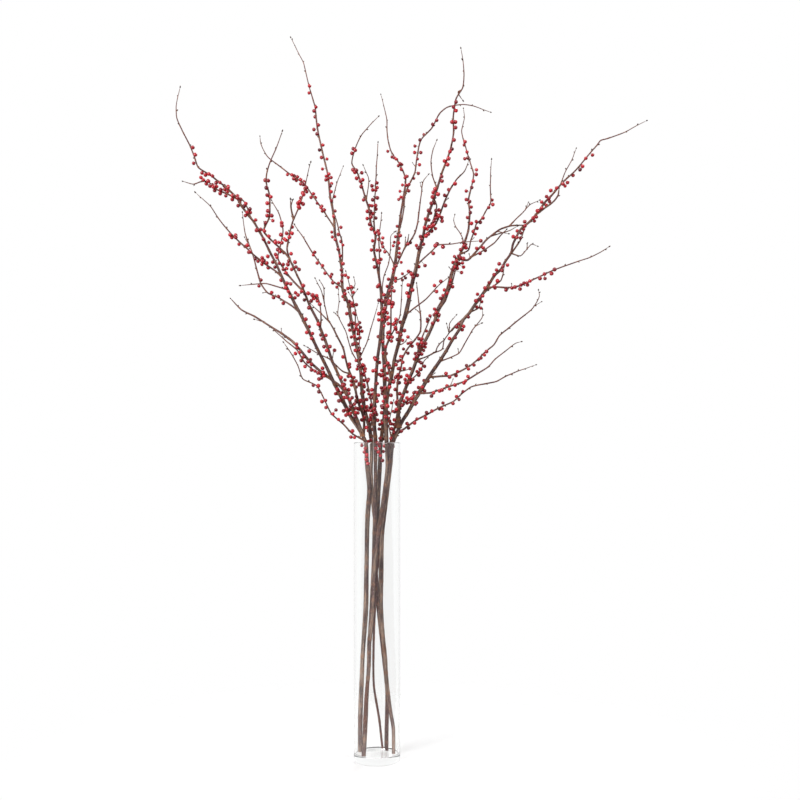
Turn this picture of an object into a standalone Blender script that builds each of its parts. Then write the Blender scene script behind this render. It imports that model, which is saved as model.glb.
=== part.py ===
# Winterberry branches standing in a tall clear glass cylinder vase.
# Metres, +Z up. The origin is the middle of the vase's underside.
import math
import random

import bpy
import bmesh
from mathutils import Matrix, Vector

# Vase
VASE_HEIGHT = 0.610
VASE_RADIUS = 0.0445
VASE_WALL = 0.004
VASE_FLOOR = 0.015
FOOT_CHAMFER = 0.002
CORNER_RADIUS = 0.0015
VASE_STEPS = 40

# Front drawing: how far across and down, in drawing units, seen from an eye at the rim's height
DRAWING_UNIT = 0.00192
RIM_DOWN = 442.4
AXIS_ACROSS = 377.0
EYE_ACROSS = 400.0
EYE_DISTANCE = 2.07

# Wood
MM = 0.001
LEADER_TAPER = 0.9
SHOOT_TAPER = 0.8
SWAY = 0.0025
SWAY_RUN = 0.02
LEADER_ROUNDNESS = 1
SHOOT_ROUNDNESS = 0
WELD_DISTANCE = 1e-6
SHARP_ANGLE = math.radians(50)

# Berries
BERRY_RADIUS = 0.0037
BERRY_SPACING = 0.040
FIRST_GAP = (0.2, 0.5)
NEXT_GAP = (0.7, 1.3)
BERRY_REACH = 0.55
WOOD_REACH = 0.8
GOLDEN_TURN = math.radians(137.5)
TURN_SPREAD = 0.4
SEED = 43

# A shoot is: name, the shoot it grows from, how much it leans back for each unit of drawn length,
# its radius in mm at the root and at the tip, the stretches that bear berries as shares of its length
# (from, to), and its route in the front drawing. A leader's route starts at the rim.
# "low" is the stem inside the vase, in mm from the middle of the underside, from the cut end up.
BRANCHES = {
    "branch_left": {
        "depth": -0.010,
        "low": [(-33.5, 6, 15.4), (-33.2, 6, 67), (-30.7, 6, 134), (-28.6, 5, 188), (-24.0, 4, 254),
                (-21.1, 3, 307), (-20.1, 2, 384), (-17.2, -3, 480), (-14.0, -6, 518), (-19.2, -9, 576)],
        "low_radius": (4.6, 4.4),
        "shoots": [
            ("leader", None, -0.16, (3.9, 0.7), ((0.08, 0.16), (0.29, 0.49), (0.565, 0.85)),
             [(365.5, 442), (362, 434), (357, 426), (350, 415), (343, 401), (335, 385), (328, 370),
              (321, 356), (312, 338), (303, 319), (294, 302), (286, 286), (279, 270), (271, 254),
              (262, 236), (253, 221), (243, 208), (236, 197), (223, 185), (210, 175), (198, 167),
              (195, 158), (190, 146), (182, 130), (176.5, 117), (176, 108), (180, 88)]),
            ("inner", "leader", -0.30, (3.6, 0.8), ((0.07, 0.2), (0.32, 0.66), (0.84, 0.93)),
             [(363, 436), (360, 428), (355, 415), (348, 397), (341, 380), (333, 363), (325, 340),
              (318, 322), (309, 304), (300, 281), (291, 262), (287, 249), (289, 237), (293, 221),
              (299, 207), (304.5, 190), (307, 177), (310.5, 163)]),
            ("over_rim", "leader", -0.45, (2.2, 0.8), ((0.05, 0.6),),
             [(365, 441), (353, 434), (344, 425), (331, 413), (324, 399), (317, 386), (303, 379),
              (298, 366), (289, 350), (284, 343)]),
            ("low_fork", "inner", 0.15, (2.2, 0.8), ((0.19, 0.48),),
             [(347, 394), (340, 386), (332, 380), (324, 374), (311, 363), (302, 352), (292, 341),
              (280, 332.5), (265, 323), (253, 315.5), (241, 309.5), (231, 299)]),
            ("fork_strand", "low_fork", -0.22, (1.7, 0.8), ((0.0, 0.7),),
             [(329, 378), (318, 373), (305, 363), (297, 350), (286, 341), (272, 328)]),
            ("middle_fork", "leader", 0.30, (1.7, 0.8), ((0.15, 0.43),),
             [(300, 312), (292, 306), (279, 298), (268, 293), (261, 284), (257, 270), (252, 252),
              (245.5, 235), (242.5, 213)]),
            ("bare_level", "leader", 0.20, (1.3, 0.7), None,
             [(288, 290), (275, 286), (266, 283.5), (253, 284.5), (241, 285.5)]),
            ("outer", "leader", -0.25, (1.8, 0.8), ((0.15, 0.57),),
             [(282, 277), (277, 272), (268, 266), (257, 257.5), (248, 249.5), (236, 238.5),
              (225, 227), (217, 216), (211, 207), (196, 193)]),
            ("far_left", "leader", 0.22, (1.6, 0.8), ((0.0, 0.62),),
             [(237, 198), (225, 193), (214, 188), (208, 181.5), (200, 182), (194, 184),
              (183.5, 181.5)]),
            ("hook", "inner", -0.22, (1.8, 0.8), ((0.05, 0.68),),
             [(290, 259), (282, 250), (269, 238), (264, 232), (269, 218), (269, 193), (266, 182),
              (270, 162), (276, 149), (282, 132)]),
            ("inner_fork", "inner", 0.12, (1.8, 0.8), ((0.0, 0.4), (0.5, 0.78)),
             [(304, 292), (298, 286), (286, 272), (278, 258), (280, 247), (283, 230), (279, 214),
              (272, 201)]),
            ("bare_fork", "inner", -0.4, (1.2, 0.7), None,
             [(293, 219), (291, 208), (290.5, 200)]),
            ("curl", "inner", -0.35, (1.4, 0.7), ((0.45, 1.0),),
             [(320, 328), (321, 318), (318, 299), (309, 293), (302, 293)]),
            ("low_strand", "leader", 0.10, (2.6, 1.2), ((0.05, 0.7),),
             [(363.5, 437), (364, 420), (358, 401), (353, 380), (348, 368), (343, 348), (334, 330),
              (328, 319)]),
            ("strand_bare", "low_strand", -0.2, (1.1, 0.7), None,
             [(328, 319), (324, 302), (321, 290), (315.5, 279)]),
            ("strand_side", "low_strand", 0.35, (1.3, 0.7), None,
             [(330, 322), (319, 311.5), (311, 304)]),
            ("cross_side", "low_strand", -0.25, (1.5, 0.8), None,
             [(350, 374), (344, 372), (330, 359.5), (318, 353.5), (305, 346)]),
            ("single", "inner", 0.5, (1.0, 0.8), ((0.5, 1.0),),
             [(332, 360), (334, 350)]),
        ],
    },
    "branch_tall": {
        "depth": 0.018,
        "low": [(17.0, 26, 15.4), (18.9, 27, 134), (17.0, 27, 188), (12.2, 28, 230), (6.2, 28, 307),
                (5.3, 27, 384), (-7.2, 24, 480), (-12.0, 21, 547)],
        "low_radius": (3.4, 3.4),
        "shoots": [
            ("leader", None, 0.20, (3.0, 0.7), ((0.0, 0.36), (0.38, 0.88)),
             [(371.5, 442), (369, 426), (365, 412), (362, 390), (360, 366), (356, 344), (352, 326),
              (348, 303), (343, 291), (342, 272), (339.5, 254), (335, 234), (334, 217),
              (330.5, 198), (328, 176), (322, 150), (317, 126), (315, 107), (309, 86), (303, 62),
              (297, 50), (291, 38)]),
            ("high_left", "leader", 0.10, (1.7, 0.8), ((0.14, 0.37), (0.44, 0.62)),
             [(334, 228), (325, 213), (315, 199), (304, 184), (292, 175.5), (278, 165), (268, 157),
              (260.5, 143), (260, 137)]),
            ("mid_left", "leader", 0.28, (1.7, 0.8), ((0.0, 0.6),),
             [(342, 288), (334, 282), (324, 269), (312, 252), (303, 237), (293, 223)]),
            ("bare_right", "leader", 0.2, (1.1, 0.7), None,
             [(331.5, 204), (335, 190), (338, 180), (343, 167)]),
            ("inside", "leader", -0.12, (1.4, 0.8), ((0.1, 0.9),),
             [(355, 340), (355, 309), (350, 287), (346, 272)]),
            ("short_spur", "leader", 0.3, (1.3, 0.8), ((0.1, 1.0),),
             [(358.5, 357), (359.5, 328), (356, 311)]),
            ("bare_spur", "leader", 0.3, (1.2, 0.7), None,
             [(359.5, 366), (351, 350), (346, 332), (338, 315), (339, 300), (338.5, 290)]),
            ("bare_middle", "leader", 0.25, (1.2, 0.7), None,
             [(359, 360), (367, 342), (372, 325), (378, 304)]),
            ("low_strand", "leader", 0.22, (2.0, 1.4), ((0.0, 1.0),),
             [(370, 430), (373, 416), (371, 400), (367, 382), (362, 366)]),
        ],
    },
    "branch_centre": {
        "depth": -0.016,
        "low": [(-25.0, 11, 15.5), (-19.0, 10, 134), (-13.5, 9, 250), (-7.0, -2, 374), (-3.0, -10, 499),
                (-2.5, -14, 566)],
        "low_radius": (3.6, 3.5),
        "shoots": [
            ("leader", None, -0.13, (3.2, 0.7), ((0.06, 0.3), (0.36, 0.5), (0.52, 0.9)),
             [(375.5, 442), (374, 420), (375, 396), (377, 364), (380, 340), (382, 316), (380, 283),
              (377, 266), (374, 250), (375.5, 236), (371, 224), (369, 210), (364, 193), (357, 172),
              (352, 164), (355, 149), (363, 133), (370, 125), (378, 117)]),
            ("right_top", "leader", 0.22, (1.5, 0.8), ((0.1, 0.8),),
             [(375.5, 234), (374, 218), (375, 196), (376, 175), (378, 143)]),
            ("bare_inner", "leader", -0.3, (1.1, 0.7), None,
             [(366, 201), (367.5, 193), (368.5, 178), (363.5, 166)]),
            ("strand", "leader", -0.25, (1.6, 0.8), ((0.0, 1.0),),
             [(379.5, 278), (379.5, 258), (379, 240), (381.5, 214)]),
        ],
    },
    "branch_forked": {
        "depth": 0.020,
        "low": [(19.0, 13, 15.4), (19.0, 15, 134), (6.0, 16, 250), (-3.0, 18, 374), (2.0, 17, 499),
                (5.0, 19, 566)],
        "low_radius": (4.0, 3.9),
        "shoots": [
            ("leader", None, 0.30, (3.4, 0.7), ((0.0, 0.19), (0.3, 0.62), (0.69, 0.87)),
             [(381, 442), (382.5, 430), (384.5, 414), (385, 390), (384, 366), (383, 345), (384, 318),
              (387, 296), (391, 282), (394.5, 266), (396.5, 248), (399.5, 225), (401.5, 209),
              (403.5, 197), (405, 188), (405.5, 179), (403, 171), (397, 160), (391, 151),
              (388, 140), (386.5, 118), (381, 95)]),
            ("right_top", "leader", 0.12, (1.8, 0.8), ((0.08, 0.6),),
             [(403, 200), (409, 185), (415, 172), (417, 157), (421, 140), (431, 129), (441, 112),
              (446, 108), (463, 104.5), (473, 106), (490, 112)]),
            ("long_bare", "leader", 0.05, (1.8, 0.8), ((0.0, 0.1),),
             [(394, 270), (397, 264), (401.4, 255), (405, 247.5), (411.4, 239.3), (415, 233),
              (417.3, 224), (419.3, 210), (421, 196), (424, 180), (428, 175)]),
            ("twig_tip", "long_bare", -0.4, (1.1, 0.7), None,
             [(404, 249), (407.5, 242), (408.6, 235.7)]),
            ("left_side", "leader", 0.3, (1.4, 0.8), ((0.1, 1.0),),
             [(394.5, 266), (389, 254), (382, 246), (379, 231)]),
            ("bare_left", "leader", -0.12, (1.2, 0.7), None,
             [(385.5, 304), (382.5, 290), (384, 276), (388.5, 264), (390.5, 248), (391.5, 235),
              (395, 232)]),
            ("short_right", "leader", -0.3, (1.4, 0.8), ((0.1, 1.0),),
             [(391.5, 280), (398.6, 279.3), (405, 275.7), (410.7, 272)]),
            ("twin", "leader", -0.12, (1.6, 1.3), None,
             [(398.5, 232), (401.5, 222), (403.4, 211), (404.5, 201), (404.8, 193)]),
        ],
    },
    "branch_right_tall": {
        "depth": -0.022,
        "low": [(-24.0, -25, 15.5), (-18.6, -27, 134), (-14.5, -27, 188), (-13.6, -27, 230),
                (-8.9, -27, 277), (-3.2, -27, 384), (12.0, -24, 499), (20.0, -22, 566)],
        "low_radius": (3.7, 3.8),
        "shoots": [
            ("leader", None, -0.30, (3.4, 0.7), ((0.05, 0.32), (0.365, 0.455), (0.49, 0.87)),
             [(386.5, 442), (386, 428), (386, 415), (386.5, 402), (388, 390), (391.8, 376),
              (394.5, 359), (398, 346), (401, 330), (405, 315), (409, 298), (412.5, 279),
              (416, 267), (419, 250), (423, 237), (425.4, 224), (430.4, 208.6), (434.4, 197),
              (438.6, 184), (442.9, 170), (450, 151), (453.5, 133), (453.5, 115), (456, 99),
              (462.5, 88), (464, 75), (463, 60), (461, 49)]),
            ("right_top", "leader", -0.10, (2.0, 0.8), ((0.0, 0.72),),
             [(423, 237), (428.6, 232), (435.7, 223.6), (440.4, 213.6), (444.6, 201.4),
              (450.7, 188.6), (457, 179), (464.3, 171.4), (468.6, 161)]),
            ("between", "right_top", -0.5, (1.6, 1.0), ((0.0, 1.0),),
             [(431.5, 228.5), (435, 213.6), (436.8, 206), (434.6, 199)]),
            ("bare_top", "leader", -0.2, (1.1, 0.7), None,
             [(437, 189), (433.2, 178), (431, 161), (433, 150), (436.5, 141)]),
            ("level", "leader", -0.35, (1.4, 0.7), ((0.25, 0.5),),
             [(416.5, 266), (420, 262), (431.4, 251.4), (438.6, 245), (450, 244.3), (464, 242),
              (480, 241)]),
            ("long_side", "leader", -0.15, (1.4, 0.7), ((0.55, 0.9),),
             [(405, 315), (410.7, 310.7), (425.7, 299.3), (437, 287), (452, 274.5)]),
            ("red_brown", "leader", -0.32, (2.2, 0.9), ((0.1, 1.0),),
             [(391, 378), (388, 366.5), (385.5, 357), (386, 347), (390, 336), (391, 322),
              (391, 305), (392, 289)]),
            ("bare_side", "red_brown", -0.3, (1.3, 0.7), ((0.0, 0.35),),
             [(388.5, 340), (393.6, 330.7), (399.3, 318), (401.4, 298.6), (402.5, 281)]),
            ("twig_tip", "leader", -0.3, (1.1, 0.7), None,
             [(398.2, 345), (402.9, 343.6), (405.7, 340.7)]),
        ],
    },
    "branch_short": {
        "depth": 0.012,
        "low": [(10.3, 28, 15.6), (4.5, 27, 67), (-6.2, 24, 134), (-6.2, 14, 250), (1.0, 8, 374),
                (14.0, 9, 499), (22.0, 11, 566)],
        "low_radius": (2.2, 2.5),
        "shoots": [
            ("leader", None, 0.26, (2.4, 0.7), ((0.0, 0.62),),
             [(390.7, 442), (393, 433), (396.5, 421), (398, 408), (397, 392), (398.5, 376),
              (401, 368), (402.5, 358), (406, 351), (414, 341), (420, 332), (421, 322),
              (419, 304), (416.7, 284)]),
            ("left_spur", "leader", 0.3, (1.3, 0.8), ((0.3, 1.0),),
             [(391.5, 439), (389, 425), (391.4, 410.7), (393.5, 401)]),
            ("right_spur", "leader", 0.2, (1.3, 0.8), ((0.1, 1.0),),
             [(398, 404), (404.3, 402.9), (410.7, 397), (418, 391)]),
            ("cross_spur", "leader", 0.3, (1.3, 0.8), ((0.2, 1.0),),
             [(400, 371), (404, 370.5), (410, 369)]),
            ("bare_tip", "leader", 0.4, (1.0, 0.7), None,
             [(420, 313), (416.4, 310)]),
        ],
    },
    "branch_right": {
        "depth": -0.004,
        "low": [(31.3, -7, 15.4), (30.8, -7, 67), (25.0, -8, 100), (20.3, -8, 134), (14.5, -8, 210),
                (10.6, -8, 250), (7.7, -9, 307), (8.7, -9, 374), (10.6, -8, 441), (17.3, -7, 499),
                (25.0, -5, 566)],
        "low_radius": (4.1, 4.1),
        "shoots": [
            ("leader", None, -0.06, (3.8, 0.7), ((0.1, 0.17), (0.275, 0.36), (0.395, 0.51), (0.57, 0.86)),
             [(393, 442), (397.9, 430.7), (402.9, 420), (410, 408.6), (415.7, 398.6),
              (421.4, 389.3), (427, 380), (432.9, 370.7), (440, 360.7), (447, 349.3),
              (452.9, 339.3), (459.3, 329.3), (463.6, 319.3), (469.3, 312.9), (474.3, 305.7),
              (480, 297.9), (485, 290.7), (490, 282.9), (495, 275), (500.7, 269.3), (505, 262),
              (511, 253), (512.9, 244.3), (517, 235.7), (521, 229), (527, 224), (532, 219.3),
              (538, 212), (546, 201), (553, 194), (562, 183), (573.5, 172.5), (586, 158),
              (597, 145), (600.5, 140.5), (606, 139), (625, 132), (638, 125), (646, 121)]),
            ("upright", "leader", 0.06, (3.4, 0.8), ((0.02, 0.28), (0.33, 0.59), (0.645, 0.9)),
             [(399, 428), (398.3, 415), (399.3, 404), (402.9, 395), (408.6, 380.7), (412.9, 370),
              (417, 358.6), (422.9, 345), (429.3, 332.9), (434.3, 321.4), (438.6, 310.7),
              (445, 300), (450.5, 287), (454.3, 271.4), (459, 259), (463, 248), (465.5, 240),
              (468.3, 230), (469.5, 210), (468.6, 200), (471.8, 185), (473.6, 174), (470, 162),
              (466, 148), (461.5, 131), (464.5, 117), (463.5, 109)]),
            ("dark_strand", "upright", -0.30, (1.8, 1.0), ((0.0, 1.0),),
             [(415.5, 362), (419.3, 345.7), (423.6, 333.6), (430.5, 318)]),
            ("bare_top", "upright", 0.35, (1.1, 0.7), None,
             [(464, 245), (462.9, 239.3), (459.3, 232), (455.5, 226), (453.6, 220),
              (454.6, 215.4)]),
            ("second_top", "upright", 0.30, (1.6, 0.7), ((0.28, 0.62),),
             [(461, 254), (468.6, 250), (470.5, 241), (475, 229.3), (476.4, 224), (480, 220.7),
              (486.4, 210), (490.3, 204), (490.5, 193), (490.5, 175), (491.5, 160)]),
            ("arch", "upright", -0.12, (2.2, 1.0), ((0.1, 0.45),),
             [(459, 259), (467.9, 260), (474.3, 253.6), (480.7, 246.4), (486.4, 240),
              (492.9, 234.3), (500, 229.3), (510, 226), (524.3, 225)]),
            ("arch_under", "arch", -0.25, (1.6, 0.9), ((0.1, 0.5),),
             [(470.7, 257.5), (479.3, 252.9), (488.6, 247), (494.3, 242.9), (501, 235),
              (506, 230)]),
            ("arch_inner", "arch", 0.25, (1.3, 0.8), None,
             [(490.7, 236), (501.4, 233), (510, 230.4), (517, 226.4)]),
            ("arch_bare", "arch", 0.10, (1.3, 0.7), None,
             [(509, 226), (516.4, 218.6), (522.9, 212.5), (530.7, 204.3), (539, 200.4)]),
            ("neck", "leader", 0.30, (1.8, 1.0), ((0.6, 1.0),),
             [(510, 254), (514.3, 249.3), (520, 240.7), (522.9, 232.9), (525, 228)]),
            ("neck_bare", "leader", 0.35, (1.3, 0.7), None,
             [(510.5, 253), (520.7, 255.7), (526.4, 250), (532, 244.3), (537, 246)]),
            ("neck_fork", "neck_bare", 0.4, (1.0, 0.7), None,
             [(527, 249.3), (527.5, 243.6)]),
            ("loop", "leader", -0.30, (1.5, 0.8), ((0.2, 0.6),),
             [(484.3, 292), (494.3, 285.7), (500.7, 280.7), (503.2, 272.9), (504.2, 266)]),
            ("far_side", "leader", -0.42, (1.7, 0.7), ((0.05, 0.62),),
             [(487, 287.5), (496.4, 287), (510, 287.5), (518.6, 286), (527.9, 282), (540, 276.4),
              (552, 270.7), (565, 266), (578.6, 261), (590, 257.5), (600.7, 252),
              (608.6, 247)]),
            ("short_loop", "leader", 0.3, (1.4, 0.8), ((0.3, 1.0),),
             [(470, 312.5), (478.6, 307.9), (481, 300)]),
            ("upper_side", "leader", 0.30, (1.9, 0.7), ((0.1, 0.5),),
             [(429, 377), (440.7, 376.3), (450, 375.7), (461.4, 370.7), (469.3, 366.4),
              (477, 360), (487, 350.4), (493.6, 345), (499.3, 336), (510, 327), (522.9, 316.4),
              (532.9, 307.9), (539.3, 295.7), (538.6, 290.7)]),
            ("middle_side", "leader", -0.35, (1.9, 0.7), ((0.05, 0.48),),
             [(419, 393), (430, 392.9), (442.9, 388.6), (455.7, 384.3), (464.3, 381.4),
              (476.4, 374.3), (488.6, 366.4), (494.3, 360), (505, 351.4), (516.4, 342.9),
              (520.7, 341.8)]),
            ("low_side", "leader", 0.25, (1.9, 0.7), ((0.02, 0.55),),
             [(396.5, 434), (405.7, 427.9), (416.4, 420), (428.6, 413.6), (442, 406.4),
              (453.6, 401.4), (462.9, 392.9), (470, 387.5), (485.7, 383.6), (496.4, 381.4),
              (506.4, 376), (520, 370.4), (535.4, 365)]),
            ("bare_side", "leader", -0.15, (1.4, 0.7), None,
             [(439, 362), (451.4, 357), (458.6, 353.6), (465, 342.9), (472, 330.7),
              (482.5, 315.7), (482.5, 310)]),
            ("bare_side_fork", "bare_side", -0.5, (0.9, 0.7), None,
             [(475, 326.2), (481, 323.5)]),
            ("bare_link", "upright", 0.32, (1.5, 0.7), None,
             [(416.5, 360), (425.7, 357), (434.3, 352.9), (442, 349.3), (444.3, 340),
              (448.6, 333.6), (449.6, 323.6), (456, 315.4)]),
            ("low_link", "upright", -0.2, (1.4, 0.8), ((0.1, 0.8),),
             [(408, 382.5), (415.7, 375.7), (421.4, 368.6), (424.3, 360.7), (429, 356)]),
            ("link_down", "leader", 0.3, (2.4, 1.6), None,
             [(462.5, 319.5), (455.7, 325.7), (449.5, 332.5)]),
            ("bare_far", "leader", 0.3, (1.1, 0.7), None,
             [(560, 185.5), (564.5, 174), (573, 157), (576, 149)]),
            ("under_strand", "leader", -0.2, (1.7, 1.2), None,
             [(536, 214), (541, 211), (545, 208), (549.5, 205), (554, 201), (558, 195), (559, 189)]),
            ("side_strand", "upright", 0.2, (1.5, 1.0), None,
             [(441, 306), (447, 299), (451.5, 293.5), (454.5, 286), (456.5, 278), (458.5, 270)]),
        ],
    },
}

BARK = (0.16, 0.10, 0.07, 1.0)
BERRY_RED = (0.45, 0.02, 0.03, 1.0)
CLEAR = (0.93, 0.96, 0.96, 1.0)


def clear_scene():
    for item in list(bpy.data.objects):
        bpy.data.objects.remove(item, do_unlink=True)


def make_material(name, colour, roughness, transmission=0.0):
    material = bpy.data.materials.new(name)
    material.use_nodes = True
    shader = material.node_tree.nodes["Principled BSDF"]
    shader.inputs["Base Color"].default_value = colour
    shader.inputs["Roughness"].default_value = roughness
    shader.inputs["Metallic"].default_value = 0.0
    shader.inputs["Transmission Weight"].default_value = transmission
    return material


def spot(across, down, depth):
    """The point in metres that the drawing shows at across and down, at a depth behind the axis."""
    unit = DRAWING_UNIT * (EYE_DISTANCE + depth) / EYE_DISTANCE
    eye = (EYE_ACROSS - AXIS_ACROSS) * DRAWING_UNIT
    return Vector((eye + (across - EYE_ACROSS) * unit, depth, VASE_HEIGHT - (down - RIM_DOWN) * unit))


def with_depths(route, depth, lean):
    """Gives each drawn point its depth: a steady lean with a slight sway."""
    run = 0.0
    before = route[0]
    placed = []
    for point in route:
        run += math.dist(before, point) * DRAWING_UNIT
        sway = SWAY * math.sin(run / SWAY_RUN)
        placed.append((*point, depth + lean * run + sway))
        before = point
    return placed


def nearest(placed, point):
    """The spot on a placed route that is nearest in the drawing to a drawn point."""
    best = None
    target = Vector(point[:2])
    for start, end in zip(placed, placed[1:]):
        low = Vector(start)
        line = Vector(end) - low
        share = (target - low.xy).dot(line.xy) / line.xy.length_squared
        found = low + line * min(1.0, max(0.0, share))
        distance = (found.xy - target).length
        if best is None or distance < best[0]:
            best = (distance, found)
    return tuple(best[1])


def place_branch(branch):
    """Each shoot: name, points and radii in metres, berried stretches, number of points below the rim."""
    drawn = {}
    shoots = []
    for name, onto, lean, thickness, berried, route in branch["shoots"]:
        if onto is None:
            placed = with_depths(route, branch["depth"], lean)
            low = [Vector(point) * MM for point in branch["low"]]
            taper = LEADER_TAPER
        else:
            root = nearest(drawn[onto], route[0])
            placed = [root] + with_depths([root[:2]] + route[1:], root[2], lean)[1:]
            low = []
            taper = SHOOT_TAPER
        drawn[name] = placed
        points = [spot(*point) for point in placed]
        radii = tapered(points, thickness, taper)
        if low:
            below = [radius * MM for radius in branch["low_radius"]]
            radii = spread_evenly(below, len(low)) + radii
        shoots.append((name, low + points, radii, berried, len(low)))
    return shoots


def lengths_along(points):
    runs = [0.0]
    for start, end in zip(points, points[1:]):
        runs.append(runs[-1] + (end - start).length)
    return runs


def tapered(points, thickness, power):
    root, tip = (radius * MM for radius in thickness)
    runs = lengths_along(points)
    return [tip + (root - tip) * (1.0 - run / runs[-1]) ** power for run in runs]


def spread_evenly(ends, count):
    first, last = ends
    return [first + (last - first) * i / (count - 1) for i in range(count)]


def link(item, collection):
    collection.objects.link(item)
    return item


def tube(name, points, radii, roundness, collection):
    """A tapered tube with closed ends, as a mesh object."""
    curve = bpy.data.curves.new(name, "CURVE")
    curve.dimensions = "3D"
    curve.bevel_depth = 1.0
    curve.bevel_resolution = roundness
    curve.use_fill_caps = True
    curve.resolution_u = 1
    line = curve.splines.new("POLY")
    line.points.add(len(points) - 1)
    for knot, point, radius in zip(line.points, points, radii):
        knot.co = (*point, 1.0)
        knot.radius = radius
    guide = link(bpy.data.objects.new(name + "_line", curve), collection)
    bpy.context.view_layer.update()
    mesh = bpy.data.meshes.new_from_object(guide.evaluated_get(bpy.context.evaluated_depsgraph_get()))
    body = bpy.data.objects.new(name, mesh)
    body.matrix_world = guide.matrix_world
    bpy.data.objects.remove(guide, do_unlink=True)
    bpy.data.curves.remove(curve)
    weld(mesh)
    return link(body, collection)


def weld(mesh):
    grid = bmesh.new()
    grid.from_mesh(mesh)
    bmesh.ops.remove_doubles(grid, verts=grid.verts, dist=WELD_DISTANCE)
    bmesh.ops.recalc_face_normals(grid, faces=grid.faces)
    grid.to_mesh(mesh)
    grid.free()


def berry(name, centre, turn, collection):
    grid = bmesh.new()
    bmesh.ops.create_icosphere(
        grid, subdivisions=1, radius=BERRY_RADIUS, matrix=Matrix.Translation(centre) @ turn
    )
    mesh = bpy.data.meshes.new(name)
    grid.to_mesh(mesh)
    grid.free()
    return link(bpy.data.objects.new(name, mesh), collection)


def point_at(points, radii, runs, run):
    """Place, direction and radius at a distance along a tube."""
    for i in range(len(points) - 1):
        if run <= runs[i + 1] or i == len(points) - 2:
            share = (run - runs[i]) / (runs[i + 1] - runs[i])
            along = points[i + 1] - points[i]
            radius = radii[i] + (radii[i + 1] - radii[i]) * share
            return points[i] + along * share, along.normalized(), radius
    return None


def berry_spots(points, radii, berried, draw):
    """Berries stand out on all sides of each berried stretch, each turned on from the last."""
    runs = lengths_along(points)
    turn = draw.uniform(0.0, math.tau)
    spots = []
    for stretch in berried:
        first, last = (share * runs[-1] for share in stretch)
        run = first + BERRY_SPACING * draw.uniform(*FIRST_GAP)
        while run < last:
            place, along, radius = point_at(points, radii, runs, run)
            side = along.orthogonal().normalized()
            side.rotate(Matrix.Rotation(turn, 3, along))
            spots.append(place + side * (WOOD_REACH * radius + BERRY_REACH * BERRY_RADIUS))
            turn += GOLDEN_TURN + draw.uniform(-TURN_SPREAD, TURN_SPREAD)
            run += BERRY_SPACING * draw.uniform(*NEXT_GAP)
    return spots


def make_branch(name, branch, whole, bark, red):
    """One branch: leader, shoots and berries joined into one closed body."""
    pieces = bpy.data.collections.new(name + "_pieces")
    bpy.context.scene.collection.children.link(pieces)
    draw = random.Random(SEED + len(name) + len(branch["shoots"]))
    body = None
    for shoot, points, radii, berried, below in place_branch(branch):
        leader = body is None
        roundness = LEADER_ROUNDNESS if leader else SHOOT_ROUNDNESS
        wood = tube(f"{name}_{shoot}", points, radii, roundness, whole if leader else pieces)
        wood.data.materials.clear()
        wood.data.materials.append(bark)
        if leader:
            body = wood
            body.data.materials.append(red)
        if berried:
            spots = berry_spots(points[below:], radii[below:], berried, draw)
            for i, centre in enumerate(spots):
                turn = Matrix.Rotation(draw.uniform(0.0, math.tau), 4, "X")
                ball = berry(f"{name}_{shoot}_berry_{i}", centre, turn, pieces)
                ball.data.materials.append(red)
    body.name = name
    join_pieces(body, pieces)
    return body


def join_pieces(body, pieces):
    union = body.modifiers.new("joined", "BOOLEAN")
    union.operation = "UNION"
    union.operand_type = "COLLECTION"
    union.collection = pieces
    union.solver = "MANIFOLD"
    bpy.context.view_layer.update()
    joined = bpy.data.meshes.new_from_object(body.evaluated_get(bpy.context.evaluated_depsgraph_get()))
    body.modifiers.clear()
    body.data = joined
    for item in list(pieces.objects):
        bpy.data.objects.remove(item, do_unlink=True)
    bpy.data.collections.remove(pieces)
    grid = bmesh.new()
    grid.from_mesh(joined)
    bmesh.ops.triangulate(grid, faces=grid.faces)
    grid.to_mesh(joined)
    grid.free()
    joined.shade_smooth()
    joined.set_sharp_from_angle(angle=SHARP_ANGLE)


def make_vase(whole, glass):
    """A cup turned round the axis, from the inside of its floor over the rim to its underside."""
    inside = VASE_RADIUS - VASE_WALL
    middle = VASE_RADIUS - VASE_WALL / 2
    round_off = VASE_WALL / 4
    profile = [
        (0.0, VASE_FLOOR),
        (inside - CORNER_RADIUS, VASE_FLOOR),
        (inside - CORNER_RADIUS * 0.3, VASE_FLOOR + CORNER_RADIUS * 0.3),
        (inside, VASE_FLOOR + CORNER_RADIUS),
        (inside, VASE_HEIGHT - round_off),
        (inside + round_off, VASE_HEIGHT),
        (middle + round_off, VASE_HEIGHT),
        (VASE_RADIUS, VASE_HEIGHT - round_off),
        (VASE_RADIUS, FOOT_CHAMFER),
        (VASE_RADIUS - FOOT_CHAMFER, 0.0),
        (0.0, 0.0),
    ]
    mesh = bpy.data.meshes.new("vase")
    rows = [(radius, 0.0, height) for radius, height in profile]
    mesh.from_pydata(rows, [(i, i + 1) for i in range(len(rows) - 1)], [])
    vase = link(bpy.data.objects.new("vase", mesh), whole)
    turned = vase.modifiers.new("turned", "SCREW")
    turned.axis = "Z"
    turned.angle = math.tau
    turned.steps = VASE_STEPS
    turned.render_steps = VASE_STEPS
    turned.use_merge_vertices = True
    turned.merge_threshold = 1e-5
    turned.use_smooth_shade = True
    mesh.materials.append(glass)
    return vase


def main():
    clear_scene()
    whole = bpy.data.collections.new("winterberry_branches")
    bpy.context.scene.collection.children.link(whole)
    bark = make_material("bark", BARK, 0.75)
    red = make_material("berry", BERRY_RED, 0.25)
    glass = make_material("glass", CLEAR, 0.0, 1.0)
    make_vase(whole, glass)
    for name, branch in BRANCHES.items():
        make_branch(name, branch, whole, bark, red)


main()
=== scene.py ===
# Winterberry branches in a tall, clear glass cylinder vase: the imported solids, dressed for a picture.
import math
import random

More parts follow.
